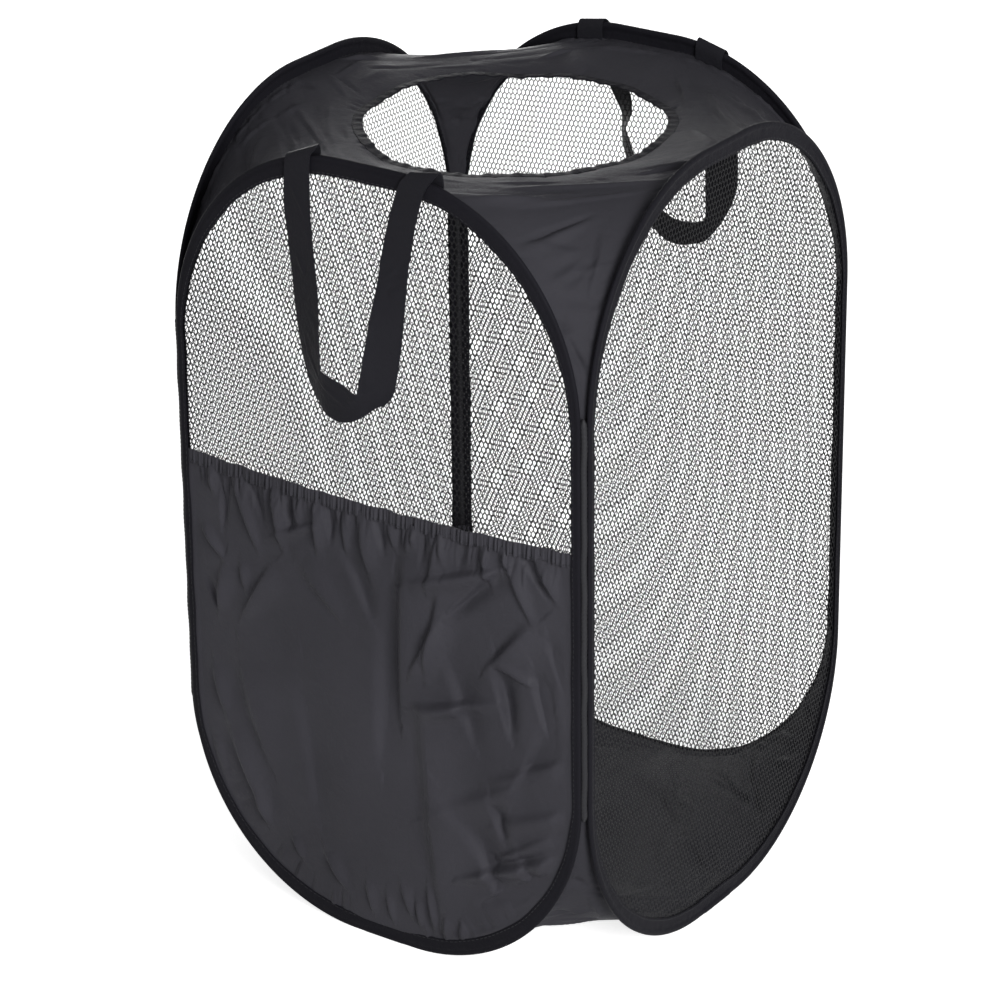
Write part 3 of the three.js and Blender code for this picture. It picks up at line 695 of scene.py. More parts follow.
def grid_faces(numbers):
    """Four sided faces between the numbered points of a grid."""
    corners = [numbers[:-1, :-1], numbers[:-1, 1:], numbers[1:, 1:], numbers[1:, :-1]]
    return np.stack(corners, -1).reshape(-1, 4)


def cover_creases(gussets, middle, seed):
    """Where the cloth creases: drawn from arch to arch, and gathered along its seams and mouth."""
    random = np.random.default_rng(seed)
    creases = []
    for corner, row, column, far_row, far, width, lift, lean in GUSSET_FOLDS:
        cloth = gussets[corner]
        creases.append((cloth[row, column], cloth[far_row, far], width / 1000, lift / 1000, lean))
    for row, column, far_row, far, width, lift, lean in MIDDLE_FOLDS:
        creases.append((middle[row, column], middle[far_row, far], width / 1000, lift / 1000, lean))
    for cloth in gussets:
        # a broken ridge beside each seam, where the allowance is turned under
        for beside in (RIDGE_BESIDE, CHORD_COLUMNS - RIDGE_BESIDE):
            row = 8
            while row < ARCH_ROWS - 8:
                far_row = min(row + random.integers(7, 22), ARCH_ROWS - 1)
                lift = random.uniform(*RIDGE_LIFT)
                width, lean = random.uniform(*RIDGE_WIDTH), random.uniform(*RIDGE_LEAN)
                creases.append((cloth[row, beside], cloth[far_row, beside], width, lift, lean))
                row = far_row + random.integers(-3, 5)
        # long folds across the gusset
        for _ in range(GUSSET_PULLS):
            row, column = random.integers(22, ARCH_ROWS - 2), random.integers(2, 26)
            far_row = np.clip(row + random.integers(-9, 10), 4, ARCH_ROWS)
            far = min(CHORD_COLUMNS, column + random.integers(16, 34))
            lift = random.uniform(*PULL_LIFT) * random.choice([-1, 1])
            width, lean = random.uniform(*PULL_WIDTH), random.uniform(*PULL_LEAN)
            creases.append((cloth[row, column], cloth[far_row, far], width, lift, lean))
        # short dents where the stitches draw the cloth in
        for _ in range(SEAM_DENTS):
            row = random.integers(4, ARCH_ROWS)
            span = np.linalg.norm(cloth[row, -1] - cloth[row, 0])
            reach = int(np.clip(random.uniform(*SEAM_DENT_LONG) / span * CHORD_COLUMNS, 1, 26))
            far_row = np.clip(row + random.integers(-3, 4), 0, ARCH_ROWS)
            seam, inner = random.choice([(0, reach), (CHORD_COLUMNS, CHORD_COLUMNS - reach)])
            width, lift = random.uniform(*SEAM_DENT_WIDTH), random.uniform(*SEAM_DENT_LIFT)
            lean = random.uniform(*SEAM_DENT_LEAN)
            creases.append((cloth[row, seam], cloth[far_row, inner], width, lift, lean))
    # folds round the middle, then dents along the arches' tops and along the mouth
    for _ in range(MIDDLE_PULLS):
        row, column = random.integers(2, 18), random.integers(0, AROUND)
        far_row = np.clip(row + random.integers(-4, 5), 1, 22)
        far = (column + random.integers(8, 22)) % AROUND
        lift = random.uniform(*MIDDLE_PULL_LIFT) * random.choice([-1, 1])
        width, lean = random.uniform(*MIDDLE_PULL_WIDTH), random.uniform(*PULL_LEAN)
        creases.append((middle[row, column], middle[far_row, far], width, lift, lean))
    for _ in range(MIDDLE_DENTS):
        edge, reach = random.choice([(0, 6), (MIDDLE_ROWS, MIDDLE_ROWS - 5)])
        column = random.integers(0, AROUND)
        far = (column + random.integers(-2, 3)) % AROUND
        width, lift = random.uniform(*MIDDLE_DENT_WIDTH), random.uniform(*MIDDLE_DENT_LIFT)
        lean = random.uniform(*SEAM_DENT_LEAN)
        creases.append((middle[edge, column], middle[reach, far], width, lift, lean))
    return creases


# the small creases: how many there are, then the least and most of each measure
RIDGE_BESIDE = 3
RIDGE_LIFT, RIDGE_WIDTH, RIDGE_LEAN = (0.0012, 0.0030), (0.002, 0.0036), (-0.6, 0.6)
GUSSET_PULLS = 11
PULL_LIFT, PULL_WIDTH, PULL_LEAN = (0.0010, 0.0026), (0.003, 0.007), (-0.8, 0.8)
SEAM_DENTS = 44
SEAM_DENT_LONG, SEAM_DENT_WIDTH = (0.008, 0.024), (0.0018, 0.0036)
SEAM_DENT_LIFT, SEAM_DENT_LEAN = (-0.0011, -0.0003), (-0.5, 0.5)
MIDDLE_PULLS = 22
MIDDLE_PULL_LIFT, MIDDLE_PULL_WIDTH = (0.0005, 0.0012), (0.003, 0.006)
MIDDLE_DENTS = 70
MIDDLE_DENT_WIDTH, MIDDLE_DENT_LIFT = (0.002, 0.0035), (-0.0009, -0.0002)
# folds that stand out: corner, row and column to row and column, width and lift in
# millimetres, and how much steeper one side is; then the same between the arches
GUSSET_FOLDS = [
    (0, 59, 11, 70, 39, 2.6, -3, 0.8), (0, 57, 12, 67, 38, 5, 2.5, -0.6), (0, 96, 20, 86, 54, 5, 2.7, 0.5),
    (0, 78, 17, 80, 51, 4, 2.4, 0.6), (0, 46, 14, 52, 34, 7, -2.1, 0.5), (0, 62, 44, 40, 40, 6, 2.2, 0.7),
    (2, 91, 53, 96, 59, 3, 3, 0.4), (3, 62, 12, 82, 14, 3, 3.3, 0.5), (3, 84, 15, 95, 14, 3, 3, 0.5),
    (3, 70, 20, 60, 44, 5, 2.2, 0.6), (3, 80, 26, 78, 50, 6, -2.1, 0.6), (2, 80, 20, 90, 44, 5, 2.2, 0.5),
    (1, 70, 14, 84, 40, 5, 2.2, 0.6), (1, 60, 44, 74, 20, 4, -2.1, 0.6), (2, 60, 16, 70, 42, 4, 2.1, 0.5),
]
MIDDLE_FOLDS = [
    (1, 234, 9, 252, 3, 2.8, 0.4), (8, 252, 21, 257, 1.8, -2.1, 0.7), (6, 253, 18, 262, 4, 1.8, 0.5),
    (9, 195, 2, 189, 3, 2.7, 0.5), (3, 186, 4, 160, 2.6, 2.7, 0.6), (5, 150, 14, 132, 4, 1.8, 0.4),
    (3, 84, 3, 66, 3, 2.4, 0.6), (6, 96, 16, 110, 4, 1.8, 0.5), (4, 10, 12, 24, 4, 1.8, 0.5),
]


def make_cover(name, radius, height, seed):
    """One whole cover, shaped with its arches up and then parted into the panels' quarters."""
    gussets = [gusset(corner) for corner in range(4)]
    flat_x = np.linspace(-FLAT_HALF, FLAT_HALF, FLAT_COLUMNS + 1)[1:-1]
    flat_z = HEIGHT - ARCH_BAND + SEWN_UNDER
    flats = [on_panel(panel, flat_x, COVER_OUT, flat_z) for panel in PANELS]
    rim = [[gussets[(k + 3) % 4][-1, -1:], flats[k], gussets[k][-1, :-1]] for k in range(4)]
    rim = np.vstack([part for side in rim for part in side])
    turn = ((np.arange(AROUND) - FLAT_COLUMNS / 2) / AROUND - 1 / 4) * 2 * math.pi
    out, up = mouth_wander(turn) if name == "top" else (0 * turn, 0 * turn)
    ring = np.stack([(radius + out) * np.cos(turn), (radius + out) * np.sin(turn), height + up], -1)
    share = np.linspace(0, 1, MIDDLE_ROWS + 1)[:, None, None]
    middle = rim * (1 - share) + ring * share
    middle[..., 2] = rim[:, 2] + (ring[:, 2] - rim[:, 2]) * share[..., 0] ** 2
    if name == "bottom":
        inner = np.linspace(1, 0, FLOOR_RINGS, endpoint=False)[1:, None, None]
        slack = FLOOR_SLACK * np.sin(inner[..., 0] * 9 + np.sin(turn * 3)) * np.sin(math.pi * inner[..., 0])
        rest = ring * inner
        rest[..., 2] = height + slack
        middle = np.vstack([middle, rest])

    store = []
    gusset_numbers = [numbered(cloth, store) for cloth in gussets]
    flat_numbers = [numbered(flat[None], store)[0] for flat in flats]
    rim_numbers = []
    for k in range(4):
        rim_numbers += [gusset_numbers[(k + 3) % 4][-1, -1:], flat_numbers[k], gusset_numbers[k][-1, :-1]]
    middle_numbers = np.vstack([np.concatenate(rim_numbers)[None], numbered(middle[1:], store)])
    points = np.vstack(store)
    joined = np.hstack([middle_numbers, middle_numbers[:, :1]])
    faces = [grid_faces(numbers) for numbers in gusset_numbers] + [grid_faces(joined)]
    corner_of = [np.full(len(f), k) for k, f in enumerate(faces[:4])]
    column = np.tile(np.arange(AROUND), len(middle) - 1)
    corner_of.append((column - FLAT_COLUMNS // 2) // (AROUND // 4) % 4)
    if name == "bottom":
        centre = numbered(np.array([[[0, 0, height]]]), store)[0, 0]
        points = np.vstack(store)
        last = joined[-1]
        fan = np.stack([last[:-1:2], last[1::2], last[2::2], np.full(AROUND // 2, centre)], -1)
        faces.append(fan)
        corner_of.append((np.arange(0, AROUND, 2) - FLAT_COLUMNS // 2) // (AROUND // 4) % 4)
    faces, corner_of = np.vstack(faces), np.concatenate(corner_of)

    unrolled = np.zeros(len(points))
    for corner in range(4):
        spine = gussets[corner][:, 0]
        rise = along(spine)
        unrolled[gusset_numbers[corner]] = (rise - rise[-1] + spine[-1] @ corner_ways(corner)[0])[:, None]
    ways = np.array([corner_ways(corner) for corner in range(4)])[corner_of]
    places = points[faces]
    lie = np.einsum("fkc,fwc->fkw", places, ways)[..., ::-1].copy()
    in_gusset = np.arange(len(faces)) < 4 * ARCH_ROWS * CHORD_COLUMNS
    lie[in_gusset, :, 1] = unrolled[faces[in_gusset]]

    looks = surface_normals(points, faces)
    points = creased(points, looks, cover_creases(gussets, middle, seed))
    looks = surface_normals(points, faces)
    if name == "bottom":
        points[:, 2] = HEIGHT - points[:, 2]
        looks[:, 2] *= -1
        faces, lie = faces[:, ::-1], lie[:, ::-1]
    x, y, _ = points[faces].mean(1).T
    nearest = np.argmax(np.stack([-y, x, y, -x]), 0)
    quarters = {}
    for k, panel in enumerate(PANELS):
        own, title = nearest == k, f"{name}_cover_{panel}"
        quarter = thick_cloth(title, points, looks, faces[own], lie[own], COVER_CLOTH, cover_cloth)
        lies_down(quarter, panel)
        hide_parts(f"{name}_cover")
        quarters[panel] = quarter
    return quarters


cover_cloth = woven_cloth(
    "cover_cloth", COVER_COLOUR, spacing=0.0005, roughness=0.4, shine=0.01, sheen=0.001, crease=120
)
top_quarters = make_cover("top", MOUTH_RADIUS, MOUTH_HEIGHT, 11)
bottom_quarters = make_cover("bottom", FLOOR_RADIUS, HEIGHT - FLOOR_HEIGHT, 23)


def rounded(sine, power):
    """A sine or cosine made squarer, for the outline of a folded hem."""
    return np.sign(sine) * np.abs(sine) ** power


def tube(name, points, material, run=None, step=0):
    """A tube from rings of points, closed at both ends, with the way its cloth lies."""
    rows, sides = points.shape[:2]
    faces, places = woven_grid(rows, sides, False, True)
    last = (rows - 1) * sides
    ends = [list(range(sides)), list(range(last, last + sides))[::-1]]
    uv = None
    if run is not None:
        uv = np.stack([run[places[..., 0]], places[..., 1] * step], -1).reshape(-1, 2)
        uv = np.concatenate([uv, np.zeros((2 * sides, 2))])
    return piece_from(name, points, faces.tolist() + ends, material, uv)


for k, panel in enumerate(PANELS):
    turn = np.linspace(-3 * math.pi / 4, -math.pi / 4, MOUTH_STEPS + 1) + k * math.pi / 2
    out, up = mouth_wander(turn)
    fold = np.linspace(0, 2 * math.pi, MOUTH_SIDES, endpoint=False)
    wide, high = rounded(np.cos(fold), 0.4), rounded(np.sin(fold), 0.8)
    ripple = 1 + MOUTH_RIPPLE * drift(turn * MOUTH_RADIUS, (0.006, 0.0095, 0.017), 3)
    radius = (HEM_OUTER + HEM_INNER) / 2 + out[:, None] + wide * (HEM_OUTER - HEM_INNER) / 2
    level = MOUTH_HEIGHT + up[:, None] + high * HEM_HALF * ripple[:, None]
    level += MOUTH_LIFT * (1 - wide) * drift(turn * MOUTH_RADIUS, (0.011, 0.023), 8)[:, None]
    points = np.stack([radius * np.cos(turn)[:, None], radius * np.sin(turn)[:, None], level], -1)
    hem = tube(f"mouth_hem_{panel}", points, tape_cloth, along(points[:, 0]), MOUTH_CLOTH_STEP)
    for cap in list(hem.data.polygons)[-2:]:
        cap.use_smooth = False
    lies_down(hem, panel)
    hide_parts("mouth_hem")
    line = points[:, np.argmax(wide * 0.9 + high)]
    sewn = stitches(f"mouth_stitches_{panel}", [(line, UP)], 0.7 * STITCH_RADIUS)
    lies_down(sewn, panel)


# Pocket: the lower part of the front panel has a second layer of charcoal polyester, caught
# in the binding at its sides and bottom. An elastic in its top hem gathers the cloth, and
# loose creases run down and across from the gathers.
POCKET_TOP = 0.348
POCKET_TUCK = 0.0045
POCKET_EDGE = 0.006
POCKET_SEAT = 0.001
POCKET_FREE = 0.0115
POCKET_MOUTH = 0.010
POCKET_BELLY = 0.006
POCKET_CLOTH = 0.0005
POCKET_COLOUR = (0.0355, 0.0345, 0.041, 1)
POCKET_COLUMNS = 330
ARCH_POCKET_ROWS = 120
UPRIGHT_POCKET_ROWS = 130
POCKET_DEPTH = 1.9
POCKET_SIDE = 0.165
POCKET_EASE = 0.012
CREASE_LEAN = 0.85
GATHERS, GATHER_LEAN, GATHER_SWAY = 95, 0.4, 0.004
GATHER_LONG, GATHER_LIFT, GATHER_WIDTH = (0.010, 0.026), (0.0006, 0.0016), (0.0014, 0.0026)
EDGE_DENTS, DENT_LEAN, DENT_TURN = 60, 0.3, 1.35
EDGE_ACROSS, EDGE_UP = 0.136, 0.146
DENT_LONG, DENT_LIFT, DENT_WIDTH = (0.010, 0.026), (-0.0012, 0.0012), (0.0018, 0.003)
# each crease: from x and z to x and z, its width, and how far it stands up, in millimetres
POCKET_CREASES = [
    (-146, 355, -144, 330, 4.7, 1.4), (-135, 352, -136, 302, 6.2, -1.7), (-125, 353, -101, 296, 6.2, 2.2),
    (-110, 352, -95, 318, 4.7, -1.3), (-85, 352, -77, 305, 6.2, 2.8), (-74, 350, -70, 322, 4.7, -1.7),
    (-64, 346, -62, 326, 4.7, 1.6), (-44, 350, -44, 312, 6.2, 2.6), (-34, 350, -33, 322, 4.7, -1.6),
    (-20, 350, -18, 315, 4.7, 1.7), (-4, 352, 2, 305, 9.3, 2.9), (8, 350, 14, 325, 4.7, -1.6),
    (19, 350, 25, 330, 4.7, 1.6), (38, 350, 37, 330, 4.7, 1.7), (50, 352, 47, 325, 4.7, -1.4),
    (64, 353, 55, 308, 9.3, 2.5), (80, 352, 78, 328, 4.7, -1.4), (96, 352, 104, 318, 5.4, 1.6),
    (113, 350, 137, 298, 6.2, 2.3), (127, 350, 150, 318, 4.7, -1.6), (140, 349, 157, 318, 7.8, 2.2),
    (160, 352, 168, 325, 4.7, 1.6), (-159, 301, -134, 278, 4.8, 2), (-134, 278, -143, 234, 8.1, 2.3),
    (-156, 259, -144, 236, 4.8, -1.4), (-118, 283, -114, 259, 4.8, 1.5), (-84, 290, -118, 238, 9.5, 2.6),
    (-83, 314, -45, 332, 4.8, 1.8), (-60, 300, -20, 262, 12.2, 1.9), (-20, 322, 6, 268, 10.8, -1.9),
    (37, 307, 115, 335, 8.1, 3.3), (115, 335, 67, 287, 6.8, -2.4), (67, 287, 40, 237, 9.5, 2.8),
    (140, 298, 100, 253, 12.2, 3.3), (109, 260, 139, 249, 4.8, 2), (39, 210, 111, 231, 8.1, 2.3),
    (126, 345, 142, 345, 4.7, -1.3), (164, 317, 176, 270, 4.8, 1.7), (150, 290, 166, 236, 6.8, -2.3),
    (37, 335, 29, 196, 17.6, 4.2), (50, 240, 56, 29, 20.2, 3.3), (22, 300, 10, 150, 21.6, -2.6),
    (170, 122, 72, 76, 8.1, 4.2), (170, 113, 90, 60, 6.8, -3), (153, 133, 105, 102, 6.8, 2.6),
    (167, 103, 117, 49, 8.1, 3), (106, 130, 173, 158, 9.5, 2.6), (84, 29, 167, 74, 6.8, 2.3),
    (44, 211, 90, 225, 6.8, 2.1), (99, 161, 168, 197, 10.8, 2.6), (48, 122, 131, 171, 13.5, 2.3),
    (64, 150, 120, 60, 16.2, -2.1), (150, 220, 120, 150, 12.2, -2.1), (70, 260, 92, 190, 12.2, -2.1),
    (33, 46, 35, 22, 3.6, 1.7), (44, 64, 47, 22, 3.6, 1.8), (59, 40, 56, 17, 3.6, 1.5),
    (72, 39, 71, 20, 3.6, 1.7), (20, 57, 28, 28, 4.8, 1.5), (6, 44, 10, 18, 3.6, 1.4),
    (-12, 50, -8, 20, 4.8, 1.4), (-158, 129, -147, 89, 6.8, 2.3), (-136, 145, -104, 72, 10.8, 2.6),
    (-111, 92, -104, 65, 4.8, 1.7), (-48, 62, -33, 35, 6.8, 2.1), (-80, 65, -72, 47, 4.8, 1.5),
    (-120, 205, -96, 120, 18.9, 2.3), (-60, 210, -52, 90, 21.6, -1.8), (-150, 190, -140, 150, 8.1, 1.9),
    (108, 264, 120, 203, 9, -3.4), (138, 262, 150, 210, 8, -3), (104, 150, 112, 118, 7, -2.4),
    (66, 312, 52, 236, 9, 2.6), (92, 104, 104, 70, 7, -2.2), (126, 112, 140, 76, 7, -2.4),
]


def half_at(z, depth):
    """Half the panel's width at a height, a given depth in from its edge."""
    past = np.clip((RISE - z) / (RISE - depth), 0, 1)
    return FLAT_HALF + (LOOP_HALF - FLAT_HALF - depth) * np.sqrt(1 - past**2) - (past >= 1) * FLAT_HALF


def pocket_out(x, z):
    """How far the pocket stands out from the net: most at its slack mouth."""
    up = z / POCKET_TOP
    across = np.minimum(1, np.abs(x) / np.maximum(half_at(z, POCKET_FREE), 1e-6))
    swell = POCKET_MOUTH * np.sin(up * math.pi / 2) + POCKET_BELLY * np.sin(up * math.pi)
    return POCKET_SEAT + (1 - across**2) * swell


def on_pocket(x, z):
    """Points on the pocket as it would hang without its creases."""
    return on_panel("front", x, pocket_out(x, z), z)


swing = np.linspace(0, math.pi / 2, ARCH_POCKET_ROWS + 1)
arch_z = RISE - (RISE - POCKET_EDGE) * np.cos(swing)
upright_z = np.linspace(RISE, POCKET_TOP + POCKET_TUCK, UPRIGHT_POCKET_ROWS + 1)[1:]
z = np.concatenate([arch_z, upright_z])[:, None]
widening = np.concatenate([np.sin(swing), np.ones(UPRIGHT_POCKET_ROWS)])
half = FLAT_HALF + (LOOP_HALF - FLAT_HALF - POCKET_EDGE) * widening
x = half[:, None] * np.linspace(-1, 1, POCKET_COLUMNS + 1)
z = np.broadcast_to(z, x.shape)
points = on_pocket(x, z).reshape(-1, 3)
faces = grid_faces(np.arange(x.size).reshape(x.shape))
looks = surface_normals(points, faces)
folds = []
for x0, z0, x1, z1, width, lift in POCKET_CREASES:
    start, end = on_pocket(np.array([x0, x1]) / 1000, np.array([z0, z1]) / 1000)
    lean = CREASE_LEAN if z1 < z0 else -CREASE_LEAN
    folds.append((start, end, width / 1000, POCKET_DEPTH * lift / 1000, lean))
random = np.random.default_rng(31)
# fine gathers below the elastic, then dents where the binding's stitches draw the cloth in
for _ in range(GATHERS):
    top, low = POCKET_TOP + 0.004, POCKET_TOP - random.uniform(*GATHER_LONG)
    x0 = random.uniform(-POCKET_SIDE, POCKET_SIDE)
    x1 = x0 + random.uniform(-GATHER_SWAY, GATHER_SWAY)
    start, end = on_panel("front", np.array([x0, x1]), pocket_out(x0, top), np.array([top, low]))
    lift = random.uniform(*GATHER_LIFT) * random.choice([-1, 1])
    folds.append((start, end, random.uniform(*GATHER_WIDTH), lift, GATHER_LEAN))
for _ in range(EDGE_DENTS):
    turn = random.uniform(-DENT_TURN, DENT_TURN)
    edge_x = math.copysign(FLAT_HALF, turn) + EDGE_ACROSS * math.sin(turn)
    edge = np.array([edge_x, RISE - EDGE_UP * math.cos(turn)])
    inward = np.array([-math.sin(turn), math.cos(turn)]) * random.uniform(*DENT_LONG)
    start, end = on_pocket(*np.stack([edge - inward * 0.2, edge + inward]).T)
    folds.append((start, end, random.uniform(*DENT_WIDTH), random.uniform(*DENT_LIFT), DENT_LEAN))
shaped = creased(points, looks, folds)
depth_in = half_at(z, POCKET_FREE) - np.abs(x)
points = points + (shaped - points) * eased(np.clip(depth_in.reshape(-1, 1) / POCKET_EASE, 0, 1))
points[:, 1] = np.minimum(points[:, 1], -PLANE - POCKET_SEAT)
looks = surface_normals(points, faces)
lie = np.stack([x, z], -1).reshape(-1, 2)[faces]
pocket_cloth = woven_cloth(
    "pocket_cloth", POCKET_COLOUR, spacing=0.0005, roughness=0.4, shine=0.04, sheen=0.002, crease=150
)
pocket = thick_cloth("front_pocket", points, looks, faces, lie, POCKET_CLOTH, pocket_cloth)
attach(pocket, "front_panel")
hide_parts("pocket")

HEM_HIGH = 0.0105
HEM_THICK = 0.002
HEM_PLEAT = 0.0022
HEM_WANDER = 0.0006
HEM_COLUMNS = 620
HEM_SIDES = 16
SLACK_ENDS, SLACK_OUT = 0.06, 0.0004
HEM_PINCH = 0.55
HEM_FINE = 0.3
HEM_BILLOW = 0.0007
HEM_STITCH_OUT, HEM_STITCH_UP = 0.0001, 0.0016
share = np.linspace(-1, 1, HEM_COLUMNS + 1)
x = share * (LOOP_HALF - POCKET_EDGE)
pleat = drift(x, (0.0038, 0.0051, 0.0033, 0.0074), 5)
fine = drift(x, (0.0021, 0.0027), 6)
slack = np.clip((1 - np.abs(share)) / SLACK_ENDS, 0, 1)
fold = np.linspace(0, 2 * math.pi, HEM_SIDES, endpoint=False)
wide, thick = rounded(np.sin(fold), 0.55), rounded(np.cos(fold), 0.6)
level = POCKET_TOP + HEM_HIGH / 2 + HEM_WANDER * (slack * drift(x, (0.027, 0.043), 7))[:, None]
level = level + wide * (HEM_HIGH / 2 + HEM_WANDER * (pleat * slack)[:, None])
body = thick * HEM_THICK / 2 * (HEM_PINCH + (1 - HEM_PINCH) * slack[:, None])
body += (slack * HEM_PLEAT * (pleat + HEM_FINE * fine))[:, None] * (0.7 - 0.3 * wide)
body += (HEM_BILLOW * slack * drift(x, (0.019, 0.031), 9))[:, None]
hem_out = np.maximum((pocket_out(x, POCKET_TOP) + SLACK_OUT * slack)[:, None] + body, POCKET_SEAT)
points = on_panel("front", x[:, None], hem_out, level)
hem = tube("front_pocket_hem", points, pocket_cloth, x, 2 * HEM_HIGH / HEM_SIDES)
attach(hem, "front_panel")
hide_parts("pocket_hem")
line = on_panel("front", x, hem_out.max(1) + HEM_STITCH_OUT, POCKET_TOP + HEM_STITCH_UP)
sewn = stitches("pocket_hem_stitches", [(line, panel_way("front", 0, 1))], STITCH_RADIUS)
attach(sewn, "front_panel")


# Carrying handles: one flat black strap on the front panel and one on the back. Each end is
# folded over the rim and sewn down inside, and the strap hangs in a narrow loop that is
# folded over at its lowest point.
STRAP_CLOTH = 0.001
STRAP_COLOUR = (0.0125, 0.0123, 0.0152, 1)
STRAP_ROWS = 260
STRAP_COLUMNS = 20
STRAP_WIDE = 0.025
STRAP_DENT = 0.0003
STRAP_HINGE = 0.607556
STRAP_TURN = (0.0004, 0.0024)
STRAP_CREASES, STRAP_LEAN = 34, 0.5
STRAP_LIFT, STRAP_WIDTH = (0.0003, 0.0009), (0.002, 0.004)
CURVE_STEPS = 40
# left and right edge of the strap at stations along it, as x, distance out and height in
# millimetres: from inside the left end, over the rim, round the loop and back inside
STRAP_EDGES = [
    (-66.8, -3.2, 590.5, -43.5, -3.2, 595.5),
    (-67.6, -2.9, 600.5, -42.0, -3.0, 610), (-68.0, -0.4, 604.9, -40.8, 0.2, 616.6),
    (-68.7, 2.7, 602.5, -43.6, 3.1, 612), (-69.1, 3.6, 594, -47.2, 3.6, 603.6),
    (-70.2, 3.6, 567, -46.8, 5, 567), (-67.2, 3.6, 538, -42.9, 8, 539),
    (-64.4, 3.6, 508.5, -38.9, 10, 511), (-61.4, 3.6, 481, -36.7, 13, 485.5),
    (-57.1, 4, 457, -33.4, 17, 469), (-49.7, 6, 439, -31.5, 19, 456),
    (-39.2, 11, 429.5, -30.6, 19, 455.6), (-31.1, 14, 422.5, -24.6, 19, 453),
    (-18.2, 15, 419, -12.4, 18, 449), (-4, 14, 423.5, -4.7, 18, 445),
    (8.2, 9, 433, -1.3, 18, 444.5), (20.3, 5, 442.7, -0.6, 17, 448),
    (26.4, 3.6, 470.5, 3.6, 14, 476.7), (30.5, 3.6, 499, 7.3, 11, 502),
    (33.6, 3.6, 525.7, 11, 7, 526), (37.6, 3.6, 552, 15, 5, 552),
    (43.3, 3.6, 579, 20.5, 3.6, 577), (50.2, 3.6, 600, 28.6, 3.6, 601),
    (56.5, 3.0, 609.4, 34.0, 2.8, 608.6), (61.6, 0.2, 615.4, 38.4, 0, 611.6),
    (61.8, -2.9, 607, 38.8, -2.9, 605.5), (60.8, -3.2, 592, 38.6, -3.2, 596),
]
# the back handle hangs with its outer edge away from the panel and its right leg twisted
BACK_STRAP_EDGES = [
    (-66.8, -3.2, 590.5, -44.5, -3.2, 595), (-67.4, -3.0, 599.5, -44.5, -3.0, 606),
    (-68.0, -0.2, 605.2, -45.0, -0.2, 611.3), (-68.8, 3.0, 602, -46.0, 3.0, 608),
    (-69.4, 3.8, 594, -47, 3.7, 599), (-71.0, 5.0, 570, -48.3, 3.9, 572),
    (-72.4, 9, 545, -49.0, 4.0, 548), (-73, 11.5, 525, -49.3, 4.2, 527),
    (-73.4, 12, 509, -49.4, 4.2, 511), (-72.6, 12, 493, -49.6, 4.2, 492),
    (-67.0, 12, 477.4, -49.8, 4.2, 478), (-58.4, 12, 462.9, -49.6, 4.5, 470),
    (-50, 12.5, 451.6, -47.5, 5, 465.6), (-42.3, 13, 444.9, -42.5, 6, 462.9),
    (-31.6, 13, 440.9, -32.6, 6.5, 460.8), (-20.8, 13, 438.4, -21.6, 7, 460.6),
    (-9.5, 12.5, 440.4, -11.2, 7, 464.4), (1.5, 12.5, 447.6, -4.4, 7, 471),
    (10.5, 13, 458.5, 0.8, 6.5, 478.5), (18.5, 14.5, 472, 5.5, 5.8, 487),
    (25.3, 16.5, 485, 10.2, 4.8, 497), (29.9, 18, 497, 14.4, 4, 506.5),
    (34.0, 19.3, 508.5, 18.8, 3.8, 517), (35.0, 19.5, 518, 22.0, 3.8, 526.5),
    (33.5, 17.5, 527.5, 18.4, 3.8, 535.5), (33.0, 15.5, 535, 16.4, 3.8, 543),
    (36.0, 12, 545.8, 17.4, 3.8, 552.5), (40.6, 11, 555.5, 20.2, 3.8, 559.5),
    (45.0, 8, 572, 24.5, 3.7, 574), (49.0, 5, 588, 29.5, 3.6, 590),
    (54.5, 3.6, 601, 33.5, 3.5, 603.5), (57.5, 2.8, 606, 36.5, 2.8, 609),
    (60.5, -0.2, 607.5, 39.0, -0.2, 611.3), (60.8, -3.0, 601.5, 39, -3.0, 606),
    (60.6, -3.2, 591.5, 38.8, -3.2, 595),
]


def smooth_row(stations, count):
    """A smooth curve through stations, as evenly spaced rows of points."""
    stations = np.asarray(stations, float)
    whole = np.vstack([2 * stations[0] - stations[1], stations, 2 * stations[-1] - stations[-2]])
    share = np.linspace(0, len(stations) - 1, CURVE_STEPS * len(stations))
    piece = np.minimum(share.astype(int), len(stations) - 2)
    t = (share - piece)[:, None]
    a, b, c, d = (whole[piece + k] for k in range(4))
    fine = 0.5 * (2 * b + (c - a) * t + (2 * a - 5 * b + 4 * c - d) * t**2 + (3 * b - a - 3 * c + d) * t**3)
    centres = (fine[:, :3] + fine[:, 3:]) / 2
    places = along(centres)
    wanted = np.linspace(0, places[-1], count)
    return np.stack([np.interp(wanted, places, fine[:, k]) for k in range(fine.shape[1])], -1)


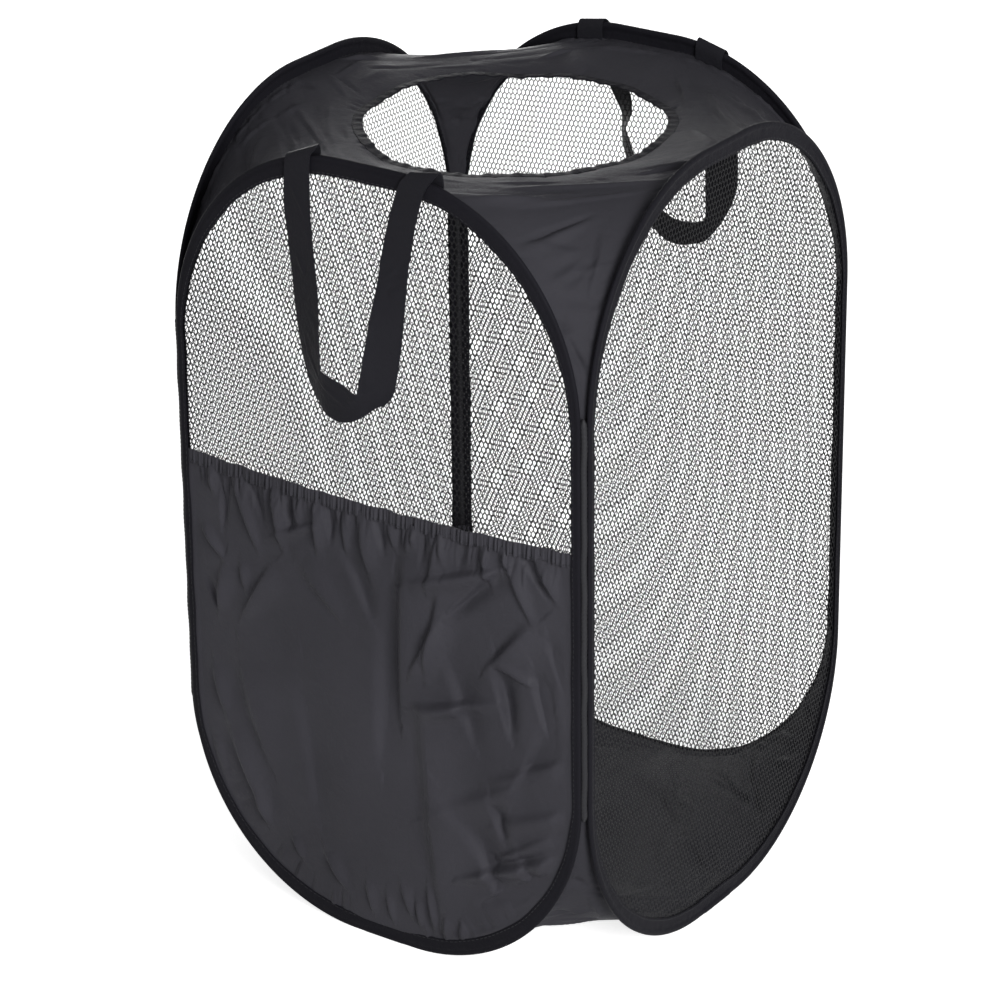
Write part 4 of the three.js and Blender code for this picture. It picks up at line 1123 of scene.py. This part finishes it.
strap_cloth = woven_cloth(
    "strap_cloth", STRAP_COLOUR, spacing=0.0006, roughness=0.4, shine=0.03, sheen=0.002, crease=210
)
across = np.linspace(0, 1, STRAP_COLUMNS + 1)[None, :, None]
for side, seed, stations in (("front", 41, STRAP_EDGES), ("back", 42, BACK_STRAP_EDGES)):
    edges = smooth_row(stations, STRAP_ROWS + 1) / 1000
    drawing = edges[:, None, :3] * (1 - across) + edges[:, None, 3:] * across
    run = along(drawing[:, STRAP_COLUMNS // 2])
    points = on_panel(side, drawing[..., 0], drawing[..., 1], drawing[..., 2]).reshape(-1, 3)
    faces = grid_faces(np.arange(len(points)).reshape(STRAP_ROWS + 1, STRAP_COLUMNS + 1))
    looks = surface_normals(points, faces)
    random = np.random.default_rng(seed)
    grid = points.reshape(STRAP_ROWS + 1, STRAP_COLUMNS + 1, 3)
    folds = []
    for _ in range(STRAP_CREASES):
        row, column = random.integers(24, STRAP_ROWS - 24), random.integers(0, STRAP_COLUMNS)
        far_row = np.clip(row + random.integers(-14, 15), 20, STRAP_ROWS - 20)
        far = np.clip(column + random.integers(-12, 13), 0, STRAP_COLUMNS)
        lift = random.uniform(*STRAP_LIFT) * random.choice([-1, 1])
        folds.append((grid[row, column], grid[far_row, far], random.uniform(*STRAP_WIDTH), lift, STRAP_LEAN))
    shaped = creased(points, looks, folds)
    facing = panel_way(side, 0, 1)
    dent = np.minimum(0, (shaped - points) @ facing + STRAP_DENT)
    points = shaped - dent[:, None] * facing
    looks = surface_normals(points, faces)
    lie = np.stack(np.broadcast_arrays(run[:, None], across[..., 0] * STRAP_WIDE), -1).reshape(-1, 2)[faces]
    strap = thick_cloth(f"{side}_strap", points, looks, faces, lie, STRAP_CLOTH, strap_cloth)
    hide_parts(f"{side}_handle", f"{side}_handle_left_tab", f"{side}_handle_right_tab")
    start, end = on_panel(side, 0, np.array(STRAP_TURN), STRAP_HINGE)
    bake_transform(strap)


# Corner seams: neighbouring bindings are whipped together edge to edge with thick thread,
# along the upright sides only. The hamper folds along these lines, and each row of thread
# lies on its fold line.
SEAM_AWAY = 0.1754
SEAM_RADIUS = 0.0024
SEAM_LOW, SEAM_HIGH = 0.150, 0.460
SEAM_END, SEAM_TIP = 0.004, 0.05
SEAM_WRAP = 0.0034
SEAM_WAIST, SEAM_BULGE = 0.94, 0.1
SEAM_WANDER = 0.00022
SEAM_ROWS = 560
SEAM_SIDES = 14
SEAM_CROSS = 0.001
SEAM_NAMES = ["front_right", "back_right", "back_left", "front_left"]
# no joint joins the back and left panels, so the thread between them goes with the left one
SEAM_APART = "back_left"

level = np.linspace(SEAM_LOW, SEAM_HIGH, SEAM_ROWS + 1)
round_it = np.linspace(0, 2 * math.pi, SEAM_SIDES, endpoint=False)[::-1]
wrap = 2 * math.pi * level[:, None] / SEAM_WRAP + round_it
narrow = np.clip(np.minimum(level - SEAM_LOW, SEAM_HIGH - level) / SEAM_END, SEAM_TIP, 1) ** 0.5
radius = SEAM_RADIUS * narrow[:, None] * (SEAM_WAIST + SEAM_BULGE * np.abs(np.sin(wrap / 2)))
for k, corner in enumerate(SEAM_NAMES):
    near, far = PANELS[k], PANELS[(k + 1) % 4]
    turn = -math.pi / 4 + k * math.pi / 2
    centre = SEAM_AWAY * math.sqrt(2) * np.array([math.cos(turn), math.sin(turn)])
    wander = (SEAM_WANDER * drift(level, (0.037, 0.061), 60 + k))[:, None]
    x = centre[0] + radius * np.cos(round_it) + wander
    y = centre[1] + radius * np.sin(round_it) + wander
    points = np.stack([x, y, np.broadcast_to(level[:, None], radius.shape)], -1)
    seam = tube(f"{corner}_whipping", points, thread)
    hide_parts(f"{corner}_seam")
    if corner == SEAM_APART:
        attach(seam, f"{far}_panel")
    else:
        across = panel_way(near, SEAM_CROSS, -SEAM_CROSS)
        start, end = [*centre, RISE] - across, [*centre, RISE] + across
        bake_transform(seam)
